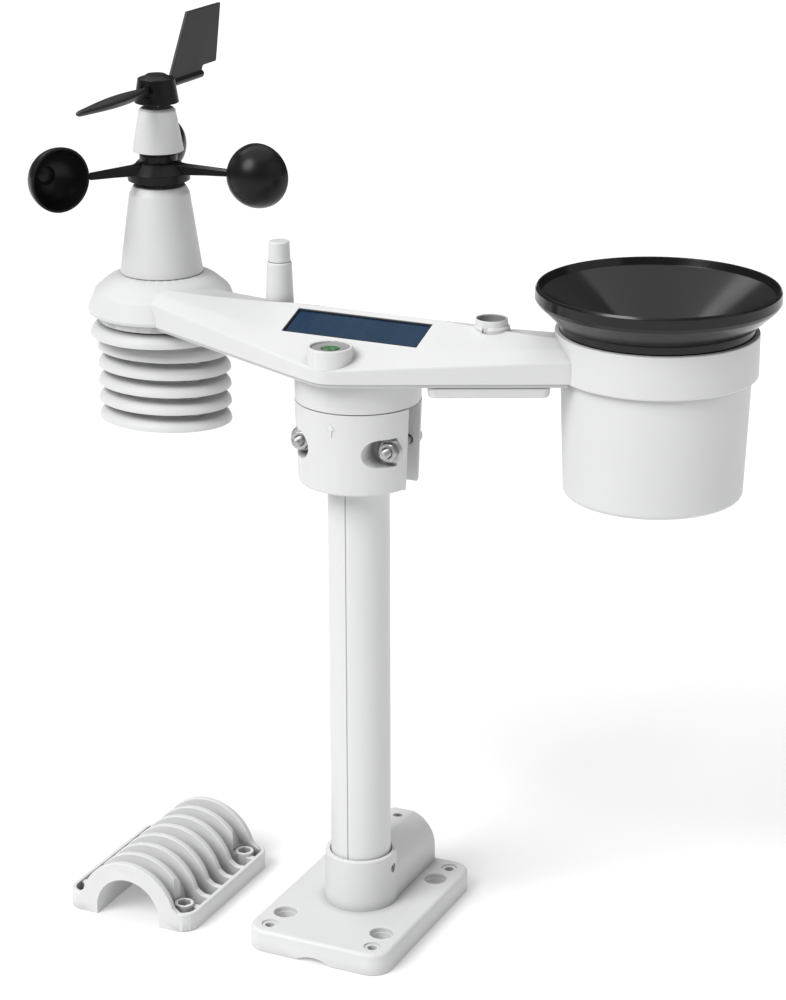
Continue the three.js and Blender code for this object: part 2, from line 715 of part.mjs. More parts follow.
// A slotted floor set up inside the rim of the lowest louvre.
function shieldFloor(z) {
  const outline = arc(0, 0, 1, 0, 2 * Math.PI - Math.PI / 16, 31)
    .map(([c, s]) => [WIND.x + (LOUVRE.halfX - 3.4) * c, WIND.y + (LOUVRE.halfY - 3.4) * s]);
  const slots = [-2, -1, 0, 1, 2].map((i) => box(
    WIND.x + i * 9 - 1.6, WIND.x + i * 9 + 1.6, WIND.y - 13, WIND.y + 13, z - 9, z + 9,
  ));
  return cut(prism(outline, z + 2.2, z + 4.2), ...slots);
}

function louvre(i) {
  const z = louvreZ(i);
  const isTop = i === 0;
  const isBottom = i === LOUVRE.count - 1;
  const ring = isTop
    ? louvreRing(z, LOUVRE.topRadius, LOUVRE.topRadius, 22, 7.6)
    : louvreRing(z, LOUVRE.halfX, LOUVRE.halfY, 16, 7);
  const spacerTop = isTop ? TRAY.bottom - GAP : z + LOUVRE.pitch + 4.8;
  const spacers = rodPlaces.map((place) => cylinder(ROD.spacer, z + 6.4, spacerTop, place));
  const holes = rodPlaces.map((place) => cylinder(ROD.hole, 0, FAR, place));
  const floor = isBottom ? [shieldFloor(z)] : [];
  return cut(join(ring, ...spacers, ...floor), ...holes);
}

for (let i = 0; i < LOUVRE.count; i += 1) {
  addNode(`louvre_${i + 1}`, louvre(i), 'white');
}
rodPlaces.forEach((place, i) => {
  const low = louvreZ(LOUVRE.count - 1);
  const shank = cylinder(ROD.radius, low + 1, TRAY.bottom - GAP, place);
  const head = cylinder(3.6, low + 0.2, low + 1.9, place);
  addNode(`shield_rod_${i + 1}`, join(shank, head), 'steel');
});
addNode('humidity_probe', box(
  WIND.x - 7, WIND.x + 7, WIND.y - 2.5, WIND.y + 2.5, 296, TRAY.bottom - GAP,
), 'diffuser');

// ---------------------------------------------------------------- rain gauge

function rainBucket() {
  const { floor, top } = BUCKET;
  const cupBody = lathe([
    [0, floor], [45.6, floor], [49.2, floor + 1.8], [50.3, floor + 6], [52.8, 341], [53, top],
    [50.8, top], [50.4, 341], [47.9, floor + 7], [44, floor + 2.6], [0, floor + 2.6],
  ], { sides: FINE });
  const posts = bothSides.map((side) => box(-4, 4, side * 16 - 1.6, side * 16 + 1.6, floor + 1, TIPPER.z + 5));
  const drains = bothSides.map((side) => box(side * 30 - 5, side * 30 + 5, -3, 3, 0, floor + 8));
  return cut(join(cupBody, ...posts), ...drains, barY(TIPPER.hole, -20, 20, { z: TIPPER.z }));
}

// Two small troughs back to back, on a hub that rocks on the axle.
function tipper() {
  const { length, halfWidth } = TIPPER;
  const outer = [[0, -1], [length, 15], [1.5, 15], [1.5, 24], [-1.5, 24], [-1.5, 15], [-length, 15]];
  const inside = (side) => {
    const outline = [[side * 1.5, 2.2], [side * (length - 3.4), 17], [side * 1.5, 17]];
    return prismY(side > 0 ? outline : outline.reverse(), -halfWidth + 1.6, halfWidth - 1.6);
  };
  const hub = barY(4, -halfWidth, halfWidth);
  const body = cut(join(prismY(outer, -halfWidth, halfWidth), hub), inside(-1), inside(1));
  return cut(body, barY(TIPPER.hole, -FAR, FAR));
}

function funnel() {
  const outside = [
    [48, 352], [50.2, 352], [50.2, 365.1], [53.2, 365.1], [53.2, 369.2], [55, 370.4],
    [65.6, 380.2], [66.9, 382.6], [66.6, 387.8], [66, 388.9],
  ];
  const inside = [[64.9, 388.9], [63.3, 384.6], [3, 346.2], [3, 338]];
  const under = [[5.2, 338], [5.2, 345.2], [48, 372.6], [48, 352]];
  return lathe([...outside, ...inside, ...under], { sides: FINE });
}

addNode('rain_bucket', rainBucket(), 'white', { position: [RAIN.x, RAIN.y, 0] });
addNode('rain_funnel', funnel(), 'black', { position: [RAIN.x, RAIN.y, 0] });
addNode('tipping_bucket', tipper(), 'trim', { position: [RAIN.x, RAIN.y, TIPPER.z] });
group.getObjectByName('tipping_bucket').rotation.y = degrees(TIPPER.turn);
addNode('tipper_axle', barY(TIPPER.axle, -17.4, 17.4, { z: TIPPER.z }), 'steel', {
  position: [RAIN.x, RAIN.y, 0],
});

// ---------------------------------------------------------------- spare half clamp

function looseClamp() {
  const { halfX, halfY, flange, inner, axisZ } = LOOSE;
  const edge = roundedRectangle(halfX, halfY, 10);
  const flangeSlab = prism(edge, 0, flange);
  const tunnel = (radius, y0, y1) => prismY(
    [[radius, -9], ...arc(0, axisZ, radius, 0, Math.PI, SMALL), [-radius, -9]], y0, y1,
  );
  const archWall = inner + 2.6;
  const ribRadius = 31.6;
  const ribCount = 8;
  const ribHalf = 1.6;
  const ribStep = (2 * halfY - 2 * ribHalf) / (ribCount - 1);
  const ribs = Array.from({ length: ribCount }, (unused, i) => {
    const y = -halfY + ribHalf + i * ribStep;
    return tunnel(ribRadius, y - ribHalf, y + ribHalf);
  });
  const aboveGround = box(-FAR, FAR, -FAR, FAR, 0, FAR);
  const body = common(join(flangeSlab, tunnel(archWall, -halfY, halfY), ...ribs), aboveGround);
  const pockets = bothSides.flatMap((side) => Array.from({ length: ribCount - 1 }, (unused, i) => {
    const y0 = -halfY + 2 * ribHalf + i * ribStep;
    const y1 = y0 + ribStep - 2 * ribHalf;
    const [x0, x1] = side > 0 ? [archWall + 1, halfX - 2.4] : [-halfX + 2.4, -archWall - 1];
    return box(x0, x1, y0, y1, 2.4, FAR);
  }));
  const bosses = corners.map(([sx, sy]) => cylinder(
    7, 0, flange, { x: sx * BOLT_HOLE.x, y: sy * BOLT_HOLE.y, sides: SMALL },
  ));
  const hexes = corners.map(([sx, sy]) => prism(hexagon(9.4), 4, FAR)
    .translate(sx * BOLT_HOLE.x, sy * BOLT_HOLE.y, 0));
  const holes = corners.map(([sx, sy]) => cylinder(
    3, -1, FAR, { x: sx * BOLT_HOLE.x, y: sy * BOLT_HOLE.y, sides: SMALL },
  ));
  const aboveBosses = corners.map(([sx, sy]) => cylinder(
    7.4, flange, FAR, { x: sx * BOLT_HOLE.x, y: sy * BOLT_HOLE.y, sides: SMALL },
  ));
  const ribbed = cut(body, ...pockets, ...aboveBosses);
  return cut(join(ribbed, ...bosses), tunnel(inner, -FAR, FAR), ...hexes, ...holes);
}

addNode('spare_clamp', looseClamp(), 'white', { position: [LOOSE.x, LOOSE.y, 0] });

// ---------------------------------------------------------------- origin

// The origin moves to the middle of the object's footprint, on the ground.
group.updateMatrixWorld(true);
const bounds = new THREE.Box3().setFromObject(group, true);
const middle = bounds.getCenter(new THREE.Vector3());
group.position.set(-middle.x, -middle.y, -bounds.min.z);

export default group;
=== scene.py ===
import json
import math

import bmesh
import bpy
from mathutils import Matrix, Vector

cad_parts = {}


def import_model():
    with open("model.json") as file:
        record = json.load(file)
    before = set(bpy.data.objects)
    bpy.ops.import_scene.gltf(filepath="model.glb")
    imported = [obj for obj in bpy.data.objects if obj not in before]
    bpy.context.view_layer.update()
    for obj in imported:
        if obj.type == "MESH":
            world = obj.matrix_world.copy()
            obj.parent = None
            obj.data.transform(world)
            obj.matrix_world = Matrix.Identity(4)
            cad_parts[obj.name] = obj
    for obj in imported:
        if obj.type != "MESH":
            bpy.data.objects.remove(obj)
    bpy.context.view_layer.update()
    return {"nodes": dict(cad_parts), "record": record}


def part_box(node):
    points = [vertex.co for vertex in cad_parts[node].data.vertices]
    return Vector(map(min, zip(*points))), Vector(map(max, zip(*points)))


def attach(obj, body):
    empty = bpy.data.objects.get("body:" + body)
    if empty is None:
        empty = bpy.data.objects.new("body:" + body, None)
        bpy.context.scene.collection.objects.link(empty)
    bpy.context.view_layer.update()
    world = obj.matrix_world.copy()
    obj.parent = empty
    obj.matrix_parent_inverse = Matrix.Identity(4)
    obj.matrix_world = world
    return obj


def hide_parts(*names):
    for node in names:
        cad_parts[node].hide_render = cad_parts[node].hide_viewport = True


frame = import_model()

# A weather station on a pole. Shapes are written in millimetres from the axis they turn about or stand
# on, with heights from the floor. place() moves them to that axis, which is read from the CAD nodes, and
# solid() turns them into metres.

MM = 0.001
TURN = 2 * math.pi
ROUND = 128                       # sides of a large round piece
SMALL = 48                        # sides of a small round piece
FAR = 900                         # longer than any piece


def middle(node):
    """The middle of a CAD node in plan, in millimetres."""
    low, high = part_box(node)
    return (low.x + high.x) / 2 / MM, (low.y + high.y) / 2 / MM


POLE = middle("pole")
WIND = middle("tower_core")
RAIN = middle("rain_bucket")
LOOSE = middle("spare_clamp")
BODY_OF = {
    node: body
    for body, nodes in frame["record"]["behaviour"]["bodies"].items()
    for node in nodes
}

POLE_RADIUS = 17.5
POLE_BORE = 17.8                  # what the pole goes into
CORNERS = ((-1, -1), (1, -1), (1, 1), (-1, 1))
BOLT_X, BOLT_Y = 31, 37.6         # bolt holes of the base and the spare clamp, from the middle
SCREW_X, SCREW_Y = 32.8, 54.1     # screw holes of the base, from the middle
SIDE_SCREW = (POLE[0], POLE[1] + 51)
HORIZON, ZENITH = 0.03, 0.33      # strength of the studio's own light, level and overhead

# ---------------------------------------------------------------- mesh helpers


def place(at=(0, 0), turn=0.0, z=0.0):
    """A spot in plan and a turn about Z, as a matrix in millimetres."""
    return Matrix.Translation((at[0], at[1], z)) @ Matrix.Rotation(turn, 4, "Z")


def solid(points, faces, spot):
    """A closed mesh from points in millimetres, with doubled points merged and normals facing out."""
    mesh = bpy.data.meshes.new("solid")
    mesh.from_pydata([(spot @ Vector(p)) * MM for p in points], [], faces)
    work = bmesh.new()
    work.from_mesh(mesh)
    bmesh.ops.remove_doubles(work, verts=work.verts, dist=1e-7)
    bmesh.ops.recalc_face_normals(work, faces=work.faces)
    work.to_mesh(mesh)
    work.free()
    obj = bpy.data.objects.new("solid", mesh)
    bpy.context.scene.collection.objects.link(obj)
    return obj


def rounded(corners, steps=5, closed=True):
    """A 2-D outline from (a, b) and (a, b, radius) corners; those with a radius become arcs."""
    outline = []
    count = len(corners)
    for i, corner in enumerate(corners):
        here = Vector(corner[:2])
        ends = not closed and i in (0, count - 1)
        if len(corner) < 3 or ends:
            outline.append(here)
            continue
        before = Vector(corners[i - 1][:2]) - here
        after = Vector(corners[(i + 1) % count][:2]) - here
        half = before.angle(after) / 2
        reach = min(corner[2] / math.tan(half), 0.49 * before.length, 0.49 * after.length)
        radius = reach * math.tan(half)
        centre = here + (before.normalized() + after.normalized()).normalized() * (
            radius / math.sin(half))
        first = here + before.normalized() * reach - centre
        last = here + after.normalized() * reach - centre
        sweep = first.angle_signed(last)
        for step in range(steps + 1):
            angle = -sweep * step / steps
            turned = Matrix.Rotation(angle, 2) @ first
            outline.append(centre + turned)
    return outline


def loft(rings, spot, loop=False):
    """A body through rings of equal point count, capped at both ends or joined end to end."""
    count = len(rings[0])
    points = [p for ring in rings for p in ring]
    spans = len(rings) if loop else len(rings) - 1
    faces = []
    for ring in range(spans):
        here, there = ring * count, (ring + 1) % len(rings) * count
        for i in range(count):
            j = (i + 1) % count
            faces.append((here + i, here + j, there + j, there + i))
    if not loop:
        faces.append(tuple(range(count)))
        faces.append(tuple(range(len(points) - count, len(points))))
    return solid(points, faces, spot)


def lathe(corners, spot=None, sides=ROUND, steps=5, at=(0, 0)):
    """A profile of radius and height turned about the vertical axis at a spot."""
    profile = rounded(corners, steps)
    points, faces = [], []
    count = len(profile)
    for side in range(sides):
        angle = side * TURN / sides
        points += [(r * math.cos(angle), r * math.sin(angle), z) for r, z in profile]
        here, there = side * count, (side + 1) % sides * count
        for i in range(count):
            j = (i + 1) % count
            if max(profile[i][0], profile[j][0]) > 1e-6:
                faces.append((here + i, here + j, there + j, there + i))
    return solid(points, faces, spot or place(at))


def cylinder(radius, z0, z1, at=(0, 0), sides=SMALL, edge=0.0, spot=None):
    """An upright cylinder, with rounded rims if it is given an edge."""
    profile = [(0, z0), (radius, z0, edge), (radius, z1, edge), (0, z1)]
    if not edge:
        profile = [corner[:2] for corner in profile]
    return lathe(profile, spot, sides, 3, at)


def tube(outer, inner, z0, z1, at=(0, 0), sides=ROUND):
    return lathe([(inner, z0), (outer, z0), (outer, z1), (inner, z1)], None, sides, at=at)


def prism(outline, z0, z1, spot):
    """An outline of (x, y) points drawn up along Z."""
    return loft([[(x, y, z) for x, y in outline] for z in (z0, z1)], spot)


def box(x0, x1, y0, y1, z0, z1, spot):
    return prism([(x0, y0), (x1, y0), (x1, y1), (x0, y1)], z0, z1, spot)


LIE_Y = Matrix.Rotation(-math.pi / 2, 4, "X")      # what stood along Z lies along Y
LIE_X = Matrix.Rotation(math.pi / 2, 4, "Y")       # what stood along Z lies along X


def lying(direction, spot, x=0.0, y=0.0, z=0.0):
    """A spot moved by x, y and z and then laid down."""
    return spot @ Matrix.Translation((x, y, z)) @ direction


def arch(points, y0, y1, spot):
    """An outline of (x, z) points drawn out along Y."""
    return loft([[(x, y, z) for x, z in points] for y in (y0, y1)], spot)


def arc(cx, cy, radius, start, end, steps):
    """Points along a circle, from a start angle to an end angle."""
    return [
        (cx + radius * math.cos(start + (end - start) * i / steps),
         cy + radius * math.sin(start + (end - start) * i / steps))
        for i in range(steps + 1)
    ]


def oval(half_x, half_y, steps):
    return [
        (half_x * math.cos(a), half_y * math.sin(a))
        for a in (i * TURN / steps for i in range(steps))
    ]


def rectangle(half_x, half_y, corner, steps=8):
    """The outline of a rectangle with round corners."""
    signs = [(1, 1), (-1, 1), (-1, -1), (1, -1)]
    return [
        p for quarter, (sx, sy) in enumerate(signs)
        for p in arc(sx * (half_x - corner), sy * (half_y - corner), corner,
                     quarter * TURN / 4, (quarter + 1) * TURN / 4, steps)
    ]


def hexagon(across):
    """A hexagon by its width across the flats."""
    return arc(0, 0, across / math.sqrt(3), 0, TURN * 5 / 6, 5)


def bake(obj):
    """Applies the modifiers of an object to its mesh."""
    graph = bpy.context.evaluated_depsgraph_get()
    mesh = bpy.data.meshes.new_from_object(obj.evaluated_get(graph))
    obj.modifiers.clear()
    obj.data = mesh
    return obj


def combine(obj, tools, operation):
    for tool in tools:
        modifier = obj.modifiers.new("combine", "BOOLEAN")
        modifier.operation = operation
        modifier.solver = "MANIFOLD"
        modifier.object = tool
        bake(obj)
        bpy.data.objects.remove(tool)
    return obj


def cut(obj, *tools):
    return combine(obj, tools, "DIFFERENCE")


def join(obj, *tools):
    return combine(obj, tools, "UNION")


def common(obj, *tools):
    return combine(obj, tools, "INTERSECT")


def cross_slot(low, high, spot):
    """The two crossed bars that cut a screwdriver slot."""
    return [box(-2, 2, -0.4, 0.4, low, high, spot), box(-0.4, 0.4, -2, 2, low, high, spot)]


def duplicate(obj):
    copy = obj.copy()
    copy.data = obj.data.copy()
    bpy.context.scene.collection.objects.link(copy)
    return copy


def subdivide(obj):
    """Rounds a whole mesh by one level of subdivision."""
    modifier = obj.modifiers.new("subdivide", "SUBSURF")
    modifier.levels = modifier.render_levels = 1
    return bake(obj)


def soften(obj, width, segments=2, angle=38):
    """Rounds the edges that are sharper than the angle."""
    modifier = obj.modifiers.new("soften", "BEVEL")
    modifier.width = width * MM
    modifier.segments = segments
    modifier.limit_method = "ANGLE"
    modifier.angle_limit = math.radians(angle)
    modifier.use_clamp_overlap = False
    return bake(obj)


def smooth(obj, angle=32):
    """Smooth shading, with edges sharper than the angle kept crisp and flat faces kept flat."""
    obj.data.shade_smooth()
    obj.data.set_sharp_from_angle(angle=math.radians(angle))
    modifier = obj.modifiers.new("normals", "WEIGHTED_NORMAL")
    modifier.keep_sharp = True
    return obj


def piece(node, obj, material, angle=32):
    """The finished piece that stands for a CAD node and moves with that node's body."""
    obj.name = node + "_fine"
    obj.data.name = obj.name
    obj.data.materials.clear()
    obj.data.materials.append(material)
    smooth(obj, angle)
    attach(obj, BODY_OF[node])
    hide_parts(node)
    return obj


def extra(name, node, obj, material, angle=32):
    """A small piece that belongs on a CAD node's body without standing for a node."""
    obj.name = name
    obj.data.materials.clear()
    obj.data.materials.append(material)
    smooth(obj, angle)
    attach(obj, BODY_OF[node])
    return obj


# ---------------------------------------------------------------- materials


class Nodes:
    """A node material: a Principled shader with noise in object coordinates feeding it."""

    def __init__(self, name, color, roughness, metallic=0.0):
        self.material = bpy.data.materials.new(name)
        self.material.use_nodes = True
        self.tree = self.material.node_tree
        self.shader = self.tree.nodes["Principled BSDF"]
        self.shader.inputs["Base Color"].default_value = (*color, 1)
        self.shader.inputs["Roughness"].default_value = roughness
        self.shader.inputs["Metallic"].default_value = metallic
        self.place = self.add("ShaderNodeTexCoord").outputs["Object"]

    def add(self, kind, **settings):
        node = self.tree.nodes.new(kind)
        for key, value in settings.items():
            setattr(node, key, value)
        return node

    def link(self, out, into):
        self.tree.links.new(out, into)

    def stretched(self, scale):
        node = self.add("ShaderNodeMapping")
        node.inputs["Scale"].default_value = scale
        self.link(self.place, node.inputs["Vector"])
        return node.outputs["Vector"]

    def noise(self, scale, detail=3.0, rough=0.5, at=None):
        node = self.add("ShaderNodeTexNoise")
        node.inputs["Scale"].default_value = scale
        node.inputs["Detail"].default_value = detail
        node.inputs["Roughness"].default_value = rough
        self.link(at or self.place, node.inputs["Vector"])
        return node.outputs["Fac"]

    def remap(self, value, low, high, out_low, out_high):
        node = self.add("ShaderNodeMapRange")
        ends = {"From Min": low, "From Max": high, "To Min": out_low, "To Max": out_high}
        for key, number in ends.items():
            node.inputs[key].default_value = number
        self.link(value, node.inputs["Value"])
        return node.outputs["Result"]

    def blend(self, factor, first, second):
        node = self.add("ShaderNodeMix", data_type="RGBA")
        self.link(factor, node.inputs["Factor"])
        for key, value in (("A", first), ("B", second)):
            socket = [s for s in node.inputs if s.name == key and s.type == "RGBA"][0]
            if isinstance(value, tuple):
                socket.default_value = (*value, 1)
            else:
                self.link(value, socket)
        return [s for s in node.outputs if s.type == "RGBA"][0]

    def color(self, value):
        self.link(value, self.shader.inputs["Base Color"])

    def roughness(self, value):
        self.link(value, self.shader.inputs["Roughness"])

    def bump(self, height, distance, strength=1.0, below=None):
        node = self.add("ShaderNodeBump")
        node.inputs["Strength"].default_value = strength
        node.inputs["Distance"].default_value = distance
        self.link(height, node.inputs["Height"])
        if below is not None:
            self.link(below, node.inputs["Normal"])
        return node.outputs["Normal"]

    def normal(self, value):
        self.link(value, self.shader.inputs["Normal"])

    def edge_highlight(self, edge=0.53, top=0.6):
        """1 along sharp outer edges, from the pointiness of the mesh: the mask for a painted highlight."""
        geometry = self.add("ShaderNodeNewGeometry")
        return self.remap(geometry.outputs["Pointiness"], edge, top, 0, 1)

    def corners(self, reach, low=0.15, high=0.88):
        """1 deep in corners and gaps and 0 on open surfaces, by how much is closed in within the reach:
        the mask for painted shade.
        """
        node = self.add("ShaderNodeAmbientOcclusion", samples=8)
        node.inputs["Distance"].default_value = reach
        return self.remap(node.outputs["AO"], low, high, 1, 0)


PAINTED_SHADE_REACH = 0.009                 # how far off, in metres, a face still darkens a gap with painted shade


def white_plastic(name, light, dark, rough=0.46, grain=0.00003):
    """Moulded plastic: slight clouds and specks, painted shade in gaps, a painted highlight on sharp edges
    and a fine grain.
    """
    m = Nodes(name, light, rough)
    cloud = m.remap(m.noise(9, 4), 0.35, 0.65, 0, 1)
    tone = m.blend(cloud, light, dark)
    speck = m.remap(m.noise(1400, 2), 0.66, 0.74, 0, 0.35)
    tone = m.blend(speck, tone, tuple(0.82 * c for c in dark))
    # Painted shade: the colour darkens in corners and gaps, where little light reaches.
    tone = m.blend(m.corners(PAINTED_SHADE_REACH), tone, tuple(0.5 * c for c in dark))
    # Painted highlight: the colour pales along sharp outer edges, where they catch the light.
    m.color(m.blend(m.edge_highlight(), tone, tuple(min(1.0, 1.05 * c) for c in light)))
    m.roughness(m.remap(m.noise(60, 4), 0.3, 0.7, rough - 0.06, rough + 0.06))
    waves = m.bump(m.noise(35, 2), 0.0002, 0.25)
    m.normal(m.bump(m.noise(1900, 3, 0.6), grain, 0.9, waves))
    m.shader.inputs["Specular IOR Level"].default_value = 0.35
    return m.material


def black_plastic(name, gloss, shine=0.2):
    """Smooth plastic with specks of dust, smears in its gloss and a slight orange peel."""
    m = Nodes(name, (0.008, 0.008, 0.009), gloss)
    dust = m.remap(m.noise(900, 4, 0.7), 0.62, 0.72, 0, 0.5)
    m.color(m.blend(dust, (0.0075, 0.0075, 0.008), (0.022, 0.022, 0.022)))
    smear = m.remap(m.noise(28, 5, 0.6), 0.35, 0.7, gloss - 0.03, gloss + 0.07)
    m.roughness(smear)
    peel = m.bump(m.noise(160, 2), 0.0001, 0.12)
    m.normal(m.bump(m.noise(1500, 2), 0.00001, 0.4, peel))
    m.shader.inputs["Specular IOR Level"].default_value = shine
    return m.material


def steel(name, tone=0.58, rough=0.4):
    """Metal with a brushed gloss and duller patches."""
    m = Nodes(name, (tone, tone, tone * 1.01), rough, 1.0)
    patches = m.remap(m.noise(120, 4), 0.35, 0.7, 0, 1)
    m.color(m.blend(patches, (tone,) * 3, (tone * 0.72,) * 3))
    brush = m.noise(300, 4, 0.7, m.stretched((9, 1, 0.6)))
    m.roughness(m.remap(brush, 0.3, 0.7, rough - 0.06, rough + 0.12))
    m.normal(m.bump(brush, 0.00002, 0.5))
    return m.material


def solar_cell(name):
    """Dark blue silicon with fine lines across it."""
    m = Nodes(name, (0.008, 0.036, 0.085), 0.3)
    cloud = m.remap(m.noise(45, 4), 0.3, 0.7, 0, 1)
    base = m.blend(cloud, (0.0035, 0.024, 0.058), (0.005, 0.029, 0.069))
    lines = m.add("ShaderNodeTexWave", wave_type="BANDS", bands_direction="X")
    lines.inputs["Scale"].default_value = 31
    lines.inputs["Distortion"].default_value = 0
    m.link(m.place, lines.inputs["Vector"])
    finger = m.remap(lines.outputs["Fac"], 0.975, 1.0, 0, 0.25)
    m.color(m.blend(finger, base, (0.012, 0.05, 0.11)))
    m.roughness(m.remap(m.noise(70, 3), 0.3, 0.7, 0.24, 0.34))
    m.normal(m.bump(m.noise(600, 3), 0.00002, 0.2))
    m.shader.inputs["Specular IOR Level"].default_value = 0.15
    return m.material


def level_green(name):
    m = Nodes(name, (0.03, 0.16, 0.03), 0.15)
    swirl = m.remap(m.noise(420, 4, 0.6), 0.36, 0.62, 0, 1)
    m.color(m.blend(swirl, (0.002, 0.022, 0.004), (0.02, 0.17, 0.02)))
    m.roughness(m.remap(m.noise(300, 2), 0.3, 0.7, 0.1, 0.22))
    m.normal(m.bump(m.noise(500, 2), 0.0002, 0.5))
    return m.material


def clear_lens(name):
    m = Nodes(name, (0.5, 0.9, 0.55), 0.05)
    m.roughness(m.remap(m.noise(200, 3), 0.3, 0.7, 0.03, 0.08))
    m.normal(m.bump(m.noise(300, 2), 0.00005, 0.2))
    m.shader.inputs["Alpha"].default_value = 0.05
    return m.material


def grey_plastic(name, tone, rough=0.4):
    m = Nodes(name, (tone,) * 3, rough)
    clouds = m.remap(m.noise(80, 4), 0.35, 0.65, 0, 1)
    m.color(m.blend(clouds, (tone,) * 3, (tone * 0.85,) * 3))
    m.roughness(m.remap(m.noise(90, 3), 0.3, 0.7, rough - 0.05, rough + 0.08))
    m.normal(m.bump(m.noise(1500, 3), 0.00003, 0.6))
    return m.material


def board_green(name):
    m = Nodes(name, (0.02, 0.12, 0.05), 0.4)
    track = m.add("ShaderNodeTexBrick")
    track.inputs["Scale"].default_value = 160
    track.inputs["Mortar Size"].default_value = 0.02
    m.link(m.place, track.inputs["Vector"])
    m.color(m.blend(track.outputs["Fac"], (0.02, 0.12, 0.05), (0.3, 0.24, 0.08)))
    m.normal(m.bump(track.outputs["Fac"], 0.00004, 0.6))
    m.roughness(m.remap(m.noise(120, 3), 0.3, 0.7, 0.3, 0.5))
    return m.material


WHITE = white_plastic("white_plastic", (0.69, 0.692, 0.696), (0.66, 0.663, 0.667))
POLE_WHITE = white_plastic("pole_coat", (0.68, 0.683, 0.688), (0.66, 0.663, 0.669), 0.34, 0.00001)
BLACK = black_plastic("black_plastic", 0.3)
FUNNEL_BLACK = black_plastic("funnel_black", 0.16, 0.35)
NOSE_BLACK = black_plastic("nose_black", 0.34, 0.8)
STEEL = steel("bright_steel")
SENSOR_GREY = grey_plastic("sensor_grey", 0.26, 0.25)
TRIM = black_plastic("dark_trim", 0.38)
SOLAR = solar_cell("solar_cell_blue")
GREEN = level_green("level_green")
LENS = clear_lens("level_lens_clear")
PALE_GREY = grey_plastic("level_floor_grey", 0.36)
BOARD = board_green("board_green")
CELL = grey_plastic("cell_wrap", 0.12, 0.3)

# ---------------------------------------------------------------- base


def plate(half_x, half_y, corner, height, edge, spot):
    """A rounded slab with a rounded upper rim and a small lower one."""
    rim = arc(0, 0, edge, 0, TURN / 4, 6)
    levels = [(0.6, 0), (0, 0.6)] + [(edge - r, height - edge + z) for r, z in rim]
    rings = [
        [(x, y, z) for x, y in rectangle(half_x - inset, half_y - inset, corner - inset)]
        for inset, z in levels
    ]
    return loft(rings, spot)


def base_plate():
    spot = place(POLE)
    half_x, half_y, height = 44.5, 64.5, 13.5
    body = plate(half_x, half_y, 12, height, 2.3, spot)
    crown = rounded([(-20.5, 6), (20.5, 6), *arc(0, 23.5, 20.5, 0, TURN / 2, 40)], 3)
    hump = arch(crown, 0, 61, spot)
    cut(hump, box(-FAR, FAR, -1, FAR, 43.1, FAR, spot))
    soften(hump, 0.7, 2, 30)
    socket = lathe([(0, 6), (21.7, 6), (20.9, 45, 0.9), (0, 45)], at=POLE)
    join(body, hump, socket)
    hole = [(0, -1), (6.2, -1), (6.2, 10.4), (6.75, 10.7), (6.75, 13.1), (7.15, 13.6), (7.15, 20), (0, 20)]
    sink = [(0, -1), (2.4, -1), (2.4, 11.4), (2.8, 12.6), (4.6, 12.6), (4.9, 13.6), (4.9, 20), (0, 20)]
    for sx, sy in CORNERS:
        bolt = (POLE[0] + sx * BOLT_X, POLE[1] + sy * BOLT_Y)
        screw = (POLE[0] + sx * SCREW_X, POLE[1] + sy * SCREW_Y)
        cut(body, lathe(hole, at=bolt), lathe(sink, at=screw, sides=64))
    cut(
        body,
        lathe([(0, 10), (POLE_BORE, 10), (POLE_BORE, 43.9), (18.7, 45.2), (18.7, FAR), (0, FAR)], at=POLE),
        cylinder(17.9, 23, FAR, sides=ROUND, spot=lying(LIE_Y, spot, z=23.5)),
        cylinder(20, -FAR, FAR, sides=ROUND, spot=lying(LIE_Y, spot, z=-16.5)),
        cylinder(2.8, 15.5, FAR, spot=lying(LIE_X, spot, z=35.8)),
        cylinder(2.8, 38, FAR, at=SIDE_SCREW),
    )
    return piece("base_plate", body, WHITE, 35)


def set_screw(node, spot, length):
    """A headless screw with a hexagonal hole in its outer end."""
    screw = cylinder(2.5, 0, length, edge=0.3, spot=spot)
    return piece(node, cut(screw, prism(hexagon(2.5), length - 1.4, FAR, spot)), STEEL)


def pole_tube():
    """The pole, with a shallow groove down its front."""
    spot = place(POLE)
    groove = 0.022
    start = -TURN / 4 + groove
    outline = arc(0, 0, POLE_RADIUS, start, start + TURN - 2 * groove, 160)
    outline += arc(0, 0, POLE_RADIUS - 0.5, -TURN / 4 - groove * 0.6, -TURN / 4 + groove * 0.6, 2)
    tube_body = prism(outline, 10.3, 334, spot)
    return piece("pole", cut(tube_body, cylinder(15.9, 0, FAR, POLE, ROUND)), POLE_WHITE, 40)


base_plate()
set_screw("socket_screw", lying(LIE_X, place(POLE), POLE_BORE, 0, 35.8), 2.4)
set_screw("side_socket_screw", place(SIDE_SCREW, z=41.2), 1.8)
pole_tube()

# ---------------------------------------------------------------- clamp under the head

CLAMP_BOLT = 26.8
BOLT_Z = 298
SLOT_X = 24.2                     # middle of the round end of a nut's slot


